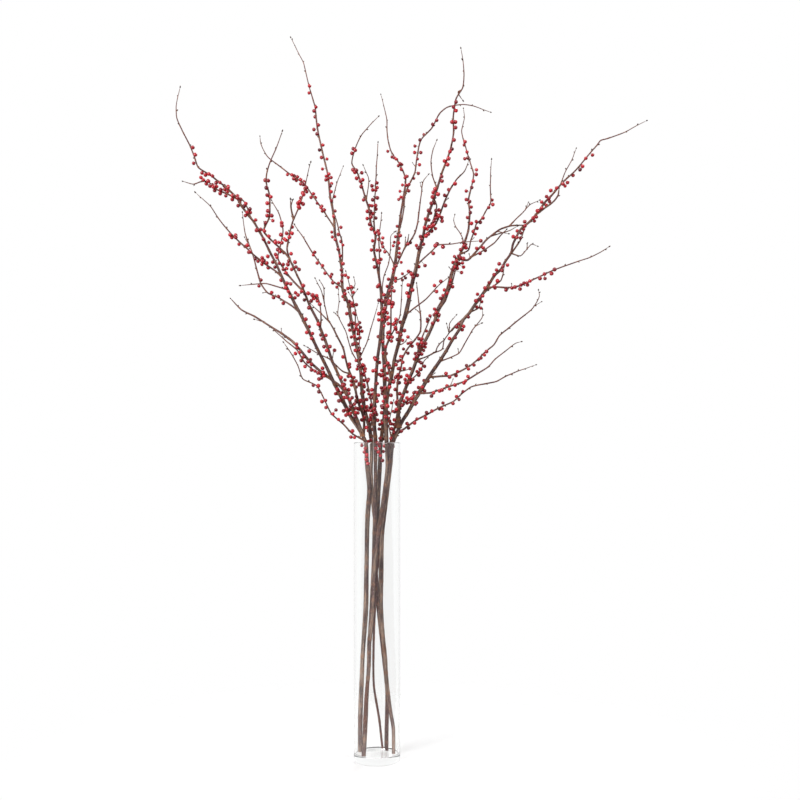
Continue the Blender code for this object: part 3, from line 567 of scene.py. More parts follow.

# A branch: its depth behind the vase's axis, how pale its stem is ("tone"), the heights of a darker
# band on it ("dark"), and the stem inside the vase in mm, from the cut end up ("low").
# A shoot: name, what it grows from, how far it leans back for each metre of drawn length, its radius
# in mm at root and tip, its berried stretches (from, to, mm between berries), and its route in pixels.
branches = {
    "branch_left": {
        "depth": -0.01,
        "tone": 0.55,
        "dark": (0.058, 0.09),
        "low": [(-33.5, 6, 15.4), (-33.2, 6, 67), (-30.7, 6, 134), (-28.6, 5, 188), (-24.0, 4, 254),
                (-21.1, 3, 307), (-20.1, 2, 384), (-17.2, -3, 480), (-14.0, -6, 518), (-19.2, -9, 576)],
        "lowRadius": (4.6, 4.4),
        "shoots": [
            ("leader", None, -0.16, (3.8, 0.5), ((0.08, 0.15, 8), (0.56, 0.76, 9)),
             [(365.5, 442), (362, 434), (357, 426), (350, 415), (343, 401), (335, 385), (328, 370),
              (321, 356), (312, 338), (303, 319), (294, 302), (286, 286), (279, 270), (271, 254),
              (262, 236), (253, 221), (243, 208), (236, 197), (223, 185), (210, 175), (198, 167),
              (195, 158), (190, 146), (182, 130), (176.5, 117), (176, 108), (180, 88)]),
            ("inner", "leader", -0.3, (3.6, 0.6), ((0.07, 0.21, 8), (0.84, 0.93, 7)),
             [(363, 436), (360, 428), (355, 415), (348, 397), (341, 380), (333, 363), (325, 340),
              (318, 322), (309, 304), (300, 281), (291, 262), (287, 249), (289, 237), (293, 221),
              (299, 207), (304.5, 190), (307, 177), (310.5, 163)]),
            ("overRim", "leader", -0.45, (1.6, 0.5), None, [(365, 441), (353, 434), (344, 425),
             (331, 413), (324, 399), (317, 386), (303, 379), (298, 366), (289, 350), (284, 343)]),
            ("lowFork", "inner", 0.15, (2.8, 0.8), None, [(347, 394), (340, 386), (332, 380), (324, 374),
             (311, 363), (302, 352), (292, 341), (280, 332.5), (265, 323), (253, 315.5), (241, 309.5),
             (231, 299)]),
            ("forkStrand", "lowFork", -0.22, (1.7, 0.6), None, [(329, 378), (318, 373), (305, 363),
             (297, 350), (286, 341), (272, 328)]),
            ("middleFork", "leader", 0.3, (1.7, 0.6), None, [(300, 312), (292, 306), (279, 298),
             (268, 293), (261, 284), (257, 270), (252, 252), (245.5, 235), (242.5, 213)]),
            ("bareLevel", "leader", 0.2, (1.3, 0.5), None, [(288, 290), (275, 286), (266, 283.5),
             (253, 284.5), (241, 285.5)]),
            ("outer", "leader", -0.25, (1.7, 0.4), ((0.15, 0.57, 9),),
             [(282, 277), (277, 272), (268, 266), (257, 257.5), (248, 249.5), (236, 238.5), (225, 227),
              (217, 216), (211, 207), (196, 193)]),
            ("farLeft", "leader", 0.22, (1.6, 0.6), ((0.0, 0.62, 8),),
             [(237, 198), (225, 193), (214, 188), (208, 181.5), (200, 182), (194, 184), (183.5, 181.5)]),
            ("hook", "inner", -0.22, (1.8, 0.6), ((0.03, 0.2, 14), (0.45, 0.68, 9)),
             [(290, 259), (282, 250), (269, 238), (264, 232), (269, 218), (269, 193), (266, 182),
              (270, 162), (276, 149), (282, 132)]),
            ("innerFork", "inner", 0.12, (1.8, 0.6), None, [(304, 292), (298, 286), (286, 272),
             (278, 258), (280, 247), (283, 230), (279, 214), (272, 201)]),
            ("bareFork", "inner", -0.4, (1.7, 0.9), None, [(293, 219), (291, 208), (290.5, 200)]),
            ("curl", "inner", -0.35, (1.4, 0.5), ((0.45, 1.0, 8),),
             [(320, 328), (321, 318), (318, 299), (309, 293), (302, 293)]),
            ("lowStrand", "leader", 0.1, (2.6, 1.2), ((0.05, 0.7, 9),),
             [(363.5, 437), (364, 420), (358, 401), (353, 380), (348, 368), (343, 348), (334, 330),
              (328, 319)]),
            ("strandBare", "lowStrand", -0.2, (1.1, 0.5), None,
             [(328, 319), (324, 302), (321, 290), (315.5, 279)]),
            ("strandSide", "lowStrand", 0.35, (1.3, 0.5), None,
             [(330, 322), (319, 311.5), (311, 304)]),
            ("crossSide", "lowStrand", -0.25, (1.5, 0.6), None,
             [(350, 374), (344, 372), (330, 359.5), (318, 353.5), (305, 346)]),
            ("single", "inner", 0.5, (1.0, 0.6), None, [(332, 360), (334, 350)]),
            ("leaderStrand", "leader", -0.3, (1.4, 0.9), ((0.1, 0.9, 14),),
             [(252, 220), (248.5, 212), (247, 207), (245.5, 203.5), (243, 200.5), (239, 199),
              (234, 196)]),
            ("forkProng", "lowFork", 0.3, (0.9, 0.6), None, [(262, 322), (255, 319.5)]),
            ("middleProng", "middleFork", -0.3, (0.8, 0.6), None,
             [(251, 248), (245, 238)]),
            ("strandProng", "strandBare", 0.3, (0.9, 0.6), None,
             [(324.5, 303), (323, 286), (320, 281)]),
            ("forkTip", "bareFork", 0.5, (1.1, 0.7), None, [(291, 206), (293, 200)]),
        ],
    },
    "branch_tall": {
        "depth": 0.018,
        "tone": 0.62,
        "dark": None,
        "low": [(17.0, 26, 15.4), (18.9, 27, 134), (17.0, 27, 188), (12.2, 28, 230), (6.2, 28, 307),
                (5.3, 27, 384), (-7.2, 24, 480), (-12.0, 21, 547)],
        "lowRadius": (3.0, 3.5),
        "shoots": [
            ("leader", None, 0.2, (3.8, 0.5), ((0.0, 0.2, 8), (0.2, 0.36, 8), (0.6, 0.66, 14)),
             [(371.5, 442), (369, 426), (365, 412), (362, 390), (360, 366), (356, 344), (352, 326),
              (348, 303), (343, 291), (342, 272), (339.5, 254), (335, 234), (334, 217), (330.5, 198),
              (328, 176), (322, 150), (317, 126), (315, 107), (309, 86), (303, 62), (297, 50),
              (291, 38)]),
            ("highLeft", "leader", 0.1, (1.7, 0.6), ((0.14, 0.37, 9), (0.44, 0.62, 7)),
             [(334, 228), (325, 213), (315, 199), (304, 184), (292, 175.5), (278, 165), (268, 157),
              (260.5, 143), (260, 137)]),
            ("midLeft", "leader", 0.28, (1.7, 0.6), None, [(342, 288), (334, 282), (324, 269), (312, 252),
             (303, 237), (293, 223)]),
            ("bareRight", "leader", 0.2, (1.1, 0.5), None, [(331.5, 204), (335, 190), (338, 180),
             (343, 167)]),
            ("inside", "leader", -0.12, (1.4, 0.6), ((0.1, 0.9, 10),),
             [(355, 340), (355, 309), (350, 287), (346, 272)]),
            ("shortSpur", "leader", 0.3, (1.3, 0.6), ((0.1, 1.0, 10),),
             [(358.5, 357), (359.5, 328), (356, 311)]),
            ("bareSpur", "leader", 0.3, (1.2, 0.5), None, [(359.5, 366), (351, 350), (346, 332),
             (338, 315), (339, 300), (338.5, 290)]),
            ("bareMiddle", "leader", 0.25, (1.2, 0.5), None, [(359, 360), (367, 342), (372, 325),
             (378, 304)]),
            ("lowStrand", "leader", 0.22, (2.0, 1.4), ((0.0, 1.0, 9),),
             [(370, 430), (373, 416), (371, 400), (367, 382), (362, 366)]),
            ("leaderStrand", "leader", -0.25, (1.5, 1.0), None,
             [(341, 268), (342.5, 258), (342.5, 250), (341.5, 240), (339.5, 233), (338, 226),
              (335.5, 217)]),
            ("insideProng", "inside", -0.3, (0.9, 0.6), None, [(352, 291), (355, 284), (354, 278)]),
            ("insideTip", "inside", 0.3, (0.8, 0.5), None, [(353.5, 297), (357, 290)]),
            ("insideLeft", "inside", 0.5, (0.8, 0.5), None, [(352, 299), (349, 293)]),
            ("spurProng", "bareSpur", 0.3, (0.8, 0.5), None, [(338, 318), (334.5, 313)]),
        ],
    },
    "branch_centre": {
        "depth": -0.016,
        "tone": 0.25,
        "dark": (0.058, 0.16),
        "low": [(-25.0, 11, 15.5), (-19.0, 10, 134), (-13.5, 9, 250), (-7.0, -2, 374), (-3.0, -10, 499),
                (-2.5, -14, 566)],
        "lowRadius": (3.6, 3.5),
        "shoots": [
            ("leader", None, -0.13, (3.7, 0.5),
             ((0.06, 0.24, 9), (0.24, 0.36, 22), (0.36, 0.45, 7), (0.46, 0.5, 13)),
             [(375.5, 442), (374, 420), (375, 396), (377, 364), (380, 340), (382, 316), (380, 283),
              (377, 266), (374, 250), (375.5, 236), (371, 224), (369, 210), (364, 193), (357, 172),
              (352, 164), (355, 149), (363, 133), (370, 125), (378, 117)]),
            ("rightTop", "leader", 0.22, (1.5, 0.6), ((0.5, 0.57, 8),),
             [(375.5, 234), (374, 218), (375, 196), (376, 175), (378, 143)]),
            ("bareInner", "leader", -0.3, (1.1, 0.5), None, [(366, 201), (367.5, 193), (368.5, 178),
             (363.5, 166)]),
            ("strand", "leader", -0.25, (1.6, 0.6), None, [(379.5, 278), (379.5, 258), (379, 240),
             (381.5, 214)]),
        ],
    },
    "branch_forked": {
        "depth": 0.02,
        "tone": 0.2,
        "dark": None,
        "low": [(19.0, 13, 15.4), (19.0, 15, 134), (6.0, 16, 250), (-3.0, 18, 374), (2.0, 17, 499),
                (5.0, 19, 566)],
        "lowRadius": (3.3, 4.0),
        "shoots": [
            ("leader", None, 0.3, (4.0, 0.5), ((0.0, 0.19, 9), (0.3, 0.41, 8)),
             [(381, 442), (382.5, 430), (384.5, 414), (385, 390), (384, 366), (383, 345), (384, 318),
              (387, 296), (391, 282), (394.5, 266), (396.5, 248), (399.5, 225), (401.5, 209),
              (403.5, 197), (405, 188), (405.5, 179), (403, 171), (397, 160), (391, 151), (388, 140),
              (386.5, 118), (381, 95)]),
            ("rightTop", "leader", 0.12, (1.8, 0.6), None, [(403, 200), (409, 185), (415, 172),
             (417, 157), (421, 140), (431, 129), (441, 112), (446, 108), (463, 104.5), (473, 106),
             (490, 112)]),
            ("longBare", "leader", 0.05, (1.8, 0.6), None, [(394, 270), (397, 264), (401.4, 255),
             (405, 247.5), (411.4, 239.3), (415, 233), (417.3, 224), (419.3, 210), (421, 196), (424, 180),
             (428, 175)]),
            ("twigTip", "longBare", -0.4, (1.5, 1.1), None, [(404, 249), (407.5, 242), (408.6, 235.7)]),
            ("leftSide", "leader", 0.3, (1.4, 0.6), None, [(394.5, 266), (389, 254), (382, 246),
             (379, 231)]),
            ("bareLeft", "leader", -0.12, (1.2, 0.5), None, [(385.5, 304), (382.5, 290), (384, 276),
             (388.5, 264), (390.5, 248), (391.5, 235), (395, 232)]),
            ("shortRight", "leader", -0.3, (1.4, 0.6), ((0.1, 1.0, 11),),
             [(391.5, 280), (398.6, 279.3), (405, 275.7), (410.7, 272)]),
            ("twin", "leader", -0.12, (1.6, 1.3), None, [(398.5, 232), (401.5, 222), (403.4, 211),
             (404.5, 201), (404.8, 193)]),
            ("sideStrand", "leader", -0.1, (1.7, 1.2), None, [(385, 314), (388.4, 299), (392.2, 283.5),
             (395.7, 267), (397.7, 250), (400, 233)]),
            ("bareProng", "longBare", 0.4, (0.8, 0.5), None, [(421.6, 190), (420.4, 183.2)]),
            ("tipProng", "longBare", 0.4, (1.2, 0.9), None, [(405, 247.5), (405.5, 238)]),
        ],
    },
    "branch_right_tall": {
        "depth": -0.022,
        "tone": 0.4,
        "dark": (0.058, 0.16),
        "low": [(-24.0, -25, 15.5), (-18.6, -27, 134), (-14.5, -27, 188), (-13.6, -27, 230),
                (-8.9, -27, 277), (-3.2, -27, 384), (12.0, -24, 499), (20.0, -22, 566)],
        "lowRadius": (3.7, 3.8),
        "shoots": [
            ("leader", None, -0.3, (4.0, 0.5), ((0.05, 0.18, 8), (0.2, 0.24, 14), (0.27, 0.32, 8)),
             [(386.5, 442), (386, 428), (386, 415), (386.5, 402), (388, 390), (391.8, 376), (394.5, 359),
              (398, 346), (401, 330), (405, 315), (409, 298), (412.5, 279), (416, 267), (419, 250),
              (423, 237), (425.4, 224), (430.4, 208.6), (434.4, 197), (438.6, 184), (442.9, 170),
              (450, 151), (453.5, 133), (453.5, 115), (456, 99), (462.5, 88), (464, 75), (463, 60),
              (461, 49)]),
            ("rightTop", "leader", -0.1, (2.0, 0.4), None, [(423, 237), (428.6, 232), (435.7, 223.6),
             (440.4, 213.6), (444.6, 201.4), (450.7, 188.6), (457, 179), (464.3, 171.4), (468.6, 161)]),
            ("between", "rightTop", -0.5, (1.6, 1.0), ((0.0, 1.0, 9),),
             [(431.5, 228.5), (435, 213.6), (436.8, 206), (434.6, 199)]),
            ("bareTop", "leader", -0.2, (1.1, 0.5), None, [(437, 189), (433.2, 178), (431, 161),
             (433, 150), (436.5, 141)]),
            ("level", "leader", -0.35, (1.4, 0.5), ((0.25, 0.47, 8),),
             [(416.5, 266), (420, 262), (431.4, 251.4), (438.6, 245), (450, 244.3), (464, 242),
              (480, 241)]),
            ("longSide", "leader", -0.15, (1.4, 0.5), None, [(405, 315), (410.7, 310.7), (425.7, 299.3),
             (437, 287), (452, 274.5)]),
            ("redBrown", "leader", -0.32, (2.2, 0.9), ((0.1, 1.0, 9),),
             [(391, 378), (388, 366.5), (385.5, 357), (386, 347), (390, 336), (391, 322), (391, 305),
              (392, 289)]),
            ("bareSide", "redBrown", -0.3, (1.3, 0.5), ((0.0, 0.35, 11),),
             [(388.5, 340), (393.6, 330.7), (399.3, 318), (401.4, 298.6), (402.5, 281)]),
            ("twigTip", "leader", -0.3, (1.1, 0.5), None, [(398.2, 345), (402.9, 343.6), (405.7, 340.7)]),
            ("sideStrand", "leader", -0.2, (1.6, 1.2), None, [(402, 330), (406.6, 316), (410, 300),
             (413.6, 282), (417.2, 268.5), (420.2, 252), (424, 238)]),
            ("crossing", "leader", 0.3, (0.9, 0.6), None, [(455.5, 87), (458, 92), (461, 98),
             (462.5, 100)]),
        ],
    },
    "branch_short": {
        "depth": 0.012,
        "tone": 0.15,
        "dark": None,
        "low": [(10.3, 28, 15.6), (4.5, 27, 67), (-6.2, 24, 134), (-6.2, 14, 250), (1.0, 8, 374),
                (14.0, 9, 499), (22.0, 11, 566)],
        "lowRadius": (2.2, 2.5),
        "shoots": [
            ("leader", None, 0.26, (2.5, 0.9), ((0.0, 0.62, 9),),
             [(390.7, 442), (393, 433), (396.5, 421), (398, 408), (397, 392), (398.5, 376), (401, 368),
              (402.5, 358), (406, 351), (414, 341), (420, 332), (421, 322), (419, 304), (416.7, 284)]),
            ("leftSpur", "leader", 0.3, (1.3, 0.6), ((0.3, 1.0, 9),),
             [(391.5, 439), (389, 425), (391.4, 410.7), (393.5, 401)]),
            ("rightSpur", "leader", 0.2, (1.3, 0.6), ((0.1, 1.0, 9),),
             [(398, 404), (404.3, 402.9), (410.7, 397), (418, 391)]),
            ("crossSpur", "leader", 0.3, (1.3, 0.6), ((0.2, 1.0, 9),),
             [(400, 371), (404, 370.5), (410, 369)]),
            ("bareTip", "leader", 0.4, (1.0, 0.5), None, [(420, 313), (416.4, 310)]),
        ],
    },
    "branch_right": {
        "depth": -0.004,
        "tone": 0.58,
        "dark": None,
        "low": [(31.3, -7, 15.4), (30.8, -7, 67), (25.0, -8, 100), (20.3, -8, 134), (14.5, -8, 210),
                (10.6, -8, 250), (7.7, -9, 307), (8.7, -9, 374), (10.6, -8, 441), (17.3, -7, 499),
                (25.0, -5, 566)],
        "lowRadius": (3.4, 4.2),
        "shoots": [
            ("leader", None, -0.06, (3.9, 0.5), ((0.1, 0.17, 7), (0.28, 0.36, 14)),
             [(393, 442), (397.9, 430.7), (402.9, 420), (410, 408.6), (415.7, 398.6), (421.4, 389.3),
              (427, 380), (432.9, 370.7), (440, 360.7), (447, 349.3), (452.9, 339.3), (459.3, 329.3),
              (463.6, 319.3), (469.3, 312.9), (474.3, 305.7), (480, 297.9), (485, 290.7), (490, 282.9),
              (495, 275), (500.7, 269.3), (505, 262), (511, 253), (512.9, 244.3), (517, 235.7),
              (521, 229), (527, 224), (532, 219.3), (538, 212), (546, 201), (553, 194), (562, 183),
              (573.5, 172.5), (586, 158), (597, 145), (600.5, 140.5), (606, 139), (625, 132), (638, 125),
              (646, 121)]),
            ("upright", "leader", 0.06, (3.9, 0.6),
             ((0.02, 0.16, 8), (0.2, 0.28, 9), (0.34, 0.37, 9), (0.5, 0.59, 7)),
             [(399, 428), (398.3, 415), (399.3, 404), (402.9, 395), (408.6, 380.7), (412.9, 370),
              (417, 358.6), (422.9, 345), (429.3, 332.9), (434.3, 321.4), (438.6, 310.7), (444, 300),
              (449, 287), (453, 271.4), (458, 259), (463, 248), (465.5, 240), (468.3, 230), (469.5, 210),
              (468.6, 200), (471.8, 185), (473.6, 174), (470, 162), (466, 148), (461.5, 131),
              (464.5, 117), (463.5, 109)]),
            ("darkStrand", "upright", -0.3, (1.8, 1.0), ((0.0, 1.0, 10),),
             [(415.5, 362), (419.3, 345.7), (423.6, 333.6), (430.5, 318)]),
            ("bareTop", "upright", 0.35, (1.1, 0.5), None, [(464, 245), (462.9, 239.3), (459.3, 232),
             (455.5, 226), (453.6, 220), (454.6, 215.4)]),
            ("secondTop", "upright", 0.3, (1.6, 0.5), None, [(461, 254), (468.6, 250), (470.5, 241),
             (475, 229.3), (476.4, 224), (480, 220.7), (486.4, 210), (490.3, 204), (490.5, 193),
             (490.5, 175), (491.5, 160)]),
            ("arch", "upright", -0.12, (2.2, 1.0), None, [(459, 259), (467.9, 260), (474.3, 253.6),
             (480.7, 246.4), (486.4, 240), (492.9, 234.3), (500, 229.3), (510, 226), (524.3, 225)]),
            ("archUnder", "arch", -0.25, (1.6, 0.9), None, [(470.7, 257.5), (479.3, 252.9), (488.6, 247),
             (494.3, 242.9), (501, 235), (506, 230)]),
            ("archInner", "arch", 0.25, (1.3, 0.6), None, [(490.7, 236), (501.4, 233), (510, 230.4),
             (517, 226.4)]),
            ("archBare", "arch", 0.1, (1.3, 0.5), None, [(509, 226), (516.4, 218.6), (522.9, 212.5),
             (530.7, 204.3), (539, 200.4)]),
            ("neck", "leader", 0.3, (1.8, 1.0), None, [(510, 254), (514.3, 249.3), (520, 240.7),
             (522.9, 232.9), (525, 228)]),
            ("neckBare", "leader", 0.35, (1.3, 0.5), None, [(510.5, 253), (520.7, 255.7), (526.4, 250),
             (532, 244.3), (537, 246)]),
            ("neckFork", "neckBare", 0.4, (1.0, 0.5), None, [(527, 249.3), (527.5, 243.6)]),
            ("loop", "leader", -0.3, (1.5, 0.6), None, [(484.3, 292), (494.3, 285.7), (500.7, 280.7),
             (503.2, 272.9), (504.2, 266)]),
            ("farSide", "leader", -0.42, (1.7, 0.5), None, [(487, 287.5), (496.4, 287), (510, 287.5),
             (518.6, 286), (527.9, 282), (540, 276.4), (552, 270.7), (565, 266), (578.6, 261),
             (590, 257.5), (600.7, 252), (608.6, 247)]),
            ("shortLoop", "leader", 0.3, (1.4, 0.6), ((0.3, 1.0, 10),),
             [(470, 312.5), (478.6, 307.9), (481, 300)]),
            ("upperSide", "leader", 0.3, (1.9, 0.5), None, [(429, 377), (440.7, 376.3), (450, 375.7),
             (461.4, 370.7), (469.3, 366.4), (477, 360), (487, 350.4), (493.6, 345), (499.3, 336),
             (510, 327), (522.9, 316.4), (532.9, 307.9), (539.3, 295.7), (538.6, 290.7)]),
            ("middleSide", "leader", -0.35, (1.9, 0.5), None, [(419, 393), (430, 392.9), (442.9, 388.6),
             (455.7, 384.3), (464.3, 381.4), (476.4, 374.3), (488.6, 366.4), (494.3, 360), (505, 351.4),
             (516.4, 342.9), (520.7, 341.8)]),
            ("lowSide", "leader", 0.25, (1.9, 0.5), None, [(396.5, 434), (405.7, 427.9), (416.4, 420),
             (428.6, 413.6), (442, 406.4), (453.6, 401.4), (462.9, 392.9), (470, 387.5), (485.7, 383.6),
             (496.4, 381.4), (506.4, 376), (520, 370.4), (535.4, 365)]),
            ("bareSide", "leader", -0.15, (1.4, 0.5), None, [(439, 362), (451.4, 357), (458.6, 353.6),
             (465, 342.9), (472, 330.7), (482.5, 315.7), (482.5, 310)]),
            ("bareSideFork", "bareSide", -0.5, (0.9, 0.5), None,
             [(475, 326.2), (481, 323.5)]),
            ("bareLink", "upright", 0.32, (1.5, 0.5), None, [(416.5, 360), (425.7, 357), (434.3, 352.9),
             (442, 349.3), (444.3, 340), (448.6, 333.6), (449.6, 323.6), (456, 315.4)]),
            ("lowLink", "upright", -0.2, (1.4, 0.6), ((0.1, 0.8, 8),),
             [(408, 382.5), (415.7, 375.7), (421.4, 368.6), (424.3, 360.7), (429, 356)]),
            ("linkDown", "leader", 0.3, (2.4, 1.6), None, [(462.5, 319.5), (455.7, 325.7),
             (449.5, 332.5)]),
            ("bareFar", "leader", 0.3, (1.1, 0.5), None, [(560, 185.5), (564.5, 174), (573, 157),
             (576, 149)]),
            ("underStrand", "leader", -0.2, (1.7, 1.2), None, [(536, 214), (541, 211), (545, 208),
             (549.5, 205), (554, 201), (558, 195), (559, 189)]),
            ("sideStrand", "upright", 0.2, (1.5, 1.0), None, [(440, 309), (445.2, 301), (448.4, 293),
             (451.2, 286), (453.5, 278), (455.4, 271), (459.2, 261)]),
            ("leftStrand", "upright", -0.25, (1.6, 1.0), None, [(434, 319), (437, 309), (441, 301.5),
             (445, 293), (448, 284), (450.5, 274), (453.5, 265)]),
            ("linkArc", "bareLink", -0.3, (1.2, 1.0), None, [(431, 354.5), (435.7, 351.4), (437, 347.9),
             (440, 343.6), (444, 340)]),
            ("linkProng", "bareLink", 0.5, (0.9, 0.5), None, [(448.8, 332), (446.8, 324.3)]),
            ("sideProng", "upperSide", 0.4, (0.8, 0.5), None, [(534.5, 306.5), (541, 302)]),
            ("archProng", "archBare", 0.4, (0.8, 0.5), None, [(525, 210), (528.2, 202.9)]),
            ("archStub", "arch", -0.5, (0.9, 0.6), None, [(497, 231), (504.3, 232.9), (507.9, 233.6)]),
        ],
    },
}


# from the front drawing to places in the room

def spot(across, down, depth):
    # the point that the drawing shows at across and down, at a depth behind the vase's axis
    unit = drawing["unit"] * (drawing["eyeDistance"] + depth) / drawing["eyeDistance"]
    eye = (drawing["eyeAcross"] - drawing["axisAcross"]) * drawing["unit"]
    return Vector((eye + (across - drawing["eyeAcross"]) * unit, depth,
                   vase["height"] - (down - drawing["rimDown"]) * unit))


def withDepths(route, depth, lean):
    run, before, placed = 0.0, route[0], []
    for point in route:
        run += math.dist(before, point) * drawing["unit"]
        sway = drawing["sway"] * math.sin(run / drawing["swayRun"])
        placed.append((*point, depth + lean * run + sway))
        before = point
    return placed


def nearestSpot(placed, point):
    best, target = None, Vector(point[:2])
    for start, end in zip(placed, placed[1:]):
        low = Vector(start)
        line = Vector(end) - low
        share = (target - low.xy).dot(line.xy) / line.xy.length_squared
        found = low + line * min(1.0, max(0.0, share))
        distance = (found.xy - target).length
        if best is None or distance < best[0]:
            best = (distance, found)
    return tuple(best[1])


def taperedRadii(points, thickness, power):
    root, tip = (radius * mm for radius in thickness)
    runs = [0.0]
    for start, end in zip(points, points[1:]):
        runs.append(runs[-1] + (end - start).length)
    return [tip + (root - tip) * (1.0 - run / runs[-1]) ** power for run in runs]


def placeBranch(branch):
    drawn, shoots = {}, []
    for name, onto, lean, thickness, berried, route in branch["shoots"]:
        if onto is None:
            placed = withDepths(route, branch["depth"], lean)
            low = [Vector(point) * mm for point in branch["low"]]
            first, last = (radius * mm for radius in branch["lowRadius"])
            lowRadii = [first + (last - first) * i / (len(low) - 1) for i in range(len(low))]
            taper = wood["leaderTaper"]
        else:
            root = nearestSpot(drawn[onto], route[0])
            placed = [root] + withDepths([root[:2]] + route[1:], root[2], lean)[1:]
            low, lowRadii = [], []
            taper = wood["limbTaper"] if thickness[0] > wood["limbFrom"] else wood["shootTaper"]
        drawn[name] = placed
        points = [spot(*point) for point in placed]
        radii = lowRadii + taperedRadii(points, thickness, taper)
        shoots.append({"name": name, "leader": onto is None, "points": low + points, "radii": radii,
                       "berried": berried, "below": len(low)})
    return shoots


# growing the wood

wood = {
    "leaderTaper": 0.75,
    "limbTaper": 0.85,         # for a shoot as thick as a leader at its root
    "limbFrom": 3.0,
    "shootTaper": 0.45,
    "step": 0.0026,            # metres between rings
    "bend": 0.72,              # 1 is a free curve, 0 is straight from point to point
    "leaderSides": 14,
    "shootSides": 9,
    "spurSides": 6,
    "flare": 0.55,             # how much a shoot widens where it leaves its parent
    "flareRun": 0.005,
    "budTurn": (144, 0.5),     # degrees round the twig from bud to bud, and the spread in radians
    "kink": 0.00035,           # sideways step at each bud
    "kinkRange": (0.5, 1.3),
    "knot": 0.16,              # how much the wood swells at each bud
    "knotRun": 0.0019,
    "knotThin": (0.0022, 0.35),   # wood thicker than this swells less, down to this share
    "lump": 0.07,
    "lumpSecond": 0.6,
    "lumpTurns": (31, 57),     # radians a metre that its two waves turn along the wood
    "blunt": (0.45, 0.004),    # each tip narrows by this share over this length
    "tipPoint": 1.2,           # how far its point stands out, in radii
    "bareGap": (0.014, 0.028),   # from bud to bud where nothing hangs
    "clumping": 0.55,          # the share of berried buds with the next one close by
    "spurShare": 0.10,
    "spurFrom": 0.02,          # metres from the root that bear no spur
    "spurReach": 0.6,          # the share of a shoot that may bear spurs
    "spurLength": (0.004, 0.010),
    "spurRadius": 0.0008,      # at most
    "stemGap": (0.018, 0.045),   # from knot to knot inside the vase
    "stemKnot": (0.3, 0.9),
    "stemKnotRun": 1.6,        # times the run of a knot on a twig
}

# how the bark changes along a shoot
weather = {
    "fullGirth": 0.005,        # the radius in metres that counts as 1
    "tipRun": 0.06,            # the young wood at each tip
    "jointRun": 0.009,         # the mark where a shoot leaves its parent
    "knotShade": 0.7,
    "bandEdge": 0.004,         # how softly the darker band ends
    "paleBelow": (0.20, 0.32),    # the stems turn paler from the upper to the lower height
    "paleBelowBy": 0.25,
    "overRimBy": 0.25,         # how much darker they are over the rim
    "foot": 0.10,              # below this height they are darker too
    "footBy": 0.30,
}


def bareGapsAlong(start, end, draw):
    spots, run = [], start + draw.uniform(0.3, 1.0) * wood["bareGap"][0]
    while run < end - 0.003:
        spots.append((run, False))
        run += draw.uniform(*wood["bareGap"])
    return spots


def knotsAlong(shoot, runs, draw):
    # (run, berried) for each bud along a shoot, from root to tip
    base, total = shoot["startRun"], runs[-1]
    length = total - base
    edge, knots = base, []
    for first, last, gap in shoot["berried"] or ():
        start, end = base + first * length, base + last * length
        knots += bareGapsAlong(edge, start, draw)
        run = start + gap * mm * draw.uniform(0.1, 0.6)
        while run < end:
            knots.append((run, True))
            near = draw.random() < wood["clumping"]
            run += gap * mm * (draw.uniform(0.35, 0.65) if near else draw.uniform(1.2, 2.0))
        edge = end
    return knots + bareGapsAlong(edge, total, draw)


def smoothPath(points, radii):
    points, radii = np.array(points), np.array(radii)
    lengths = np.linalg.norm(np.diff(points, axis=0), axis=1)
    runs = np.concatenate([[0.0], np.cumsum(lengths)])
    slopes = np.gradient(points, runs, axis=0) * wood["bend"]
    count = max(4, round(runs[-1] / wood["step"]))
    run = np.linspace(0.0, runs[-1], count + 1)
    i = np.clip(np.searchsorted(runs, run, side="right") - 1, 0, len(runs) - 2)
    t = ((run - runs[i]) / lengths[i])[:, None]
    h = lengths[i][:, None]
    path = ((2 * t**3 - 3 * t**2 + 1) * points[i] + (t**3 - 2 * t**2 + t) * h * slopes[i]
            + (3 * t**2 - 2 * t**3) * points[i + 1] + (t**3 - t**2) * h * slopes[i + 1])
    return path, np.interp(run, runs, radii), run, runs


def framesAlong(path):
    # a side and an up direction at each ring, carried along without twist
    ahead = np.gradient(path, axis=0)
    ahead /= np.linalg.norm(ahead, axis=1)[:, None]
    side = np.cross(ahead[0], (0.0, 1.0, 0.0) if abs(ahead[0][1]) < 0.9 else (1.0, 0.0, 0.0))
    sides = []
    for way in ahead:
        side = side - way * side.dot(way)
        side = side / np.linalg.norm(side)
        sides.append(side)
    sides = np.array(sides)
    return ahead, sides, np.cross(ahead, sides)


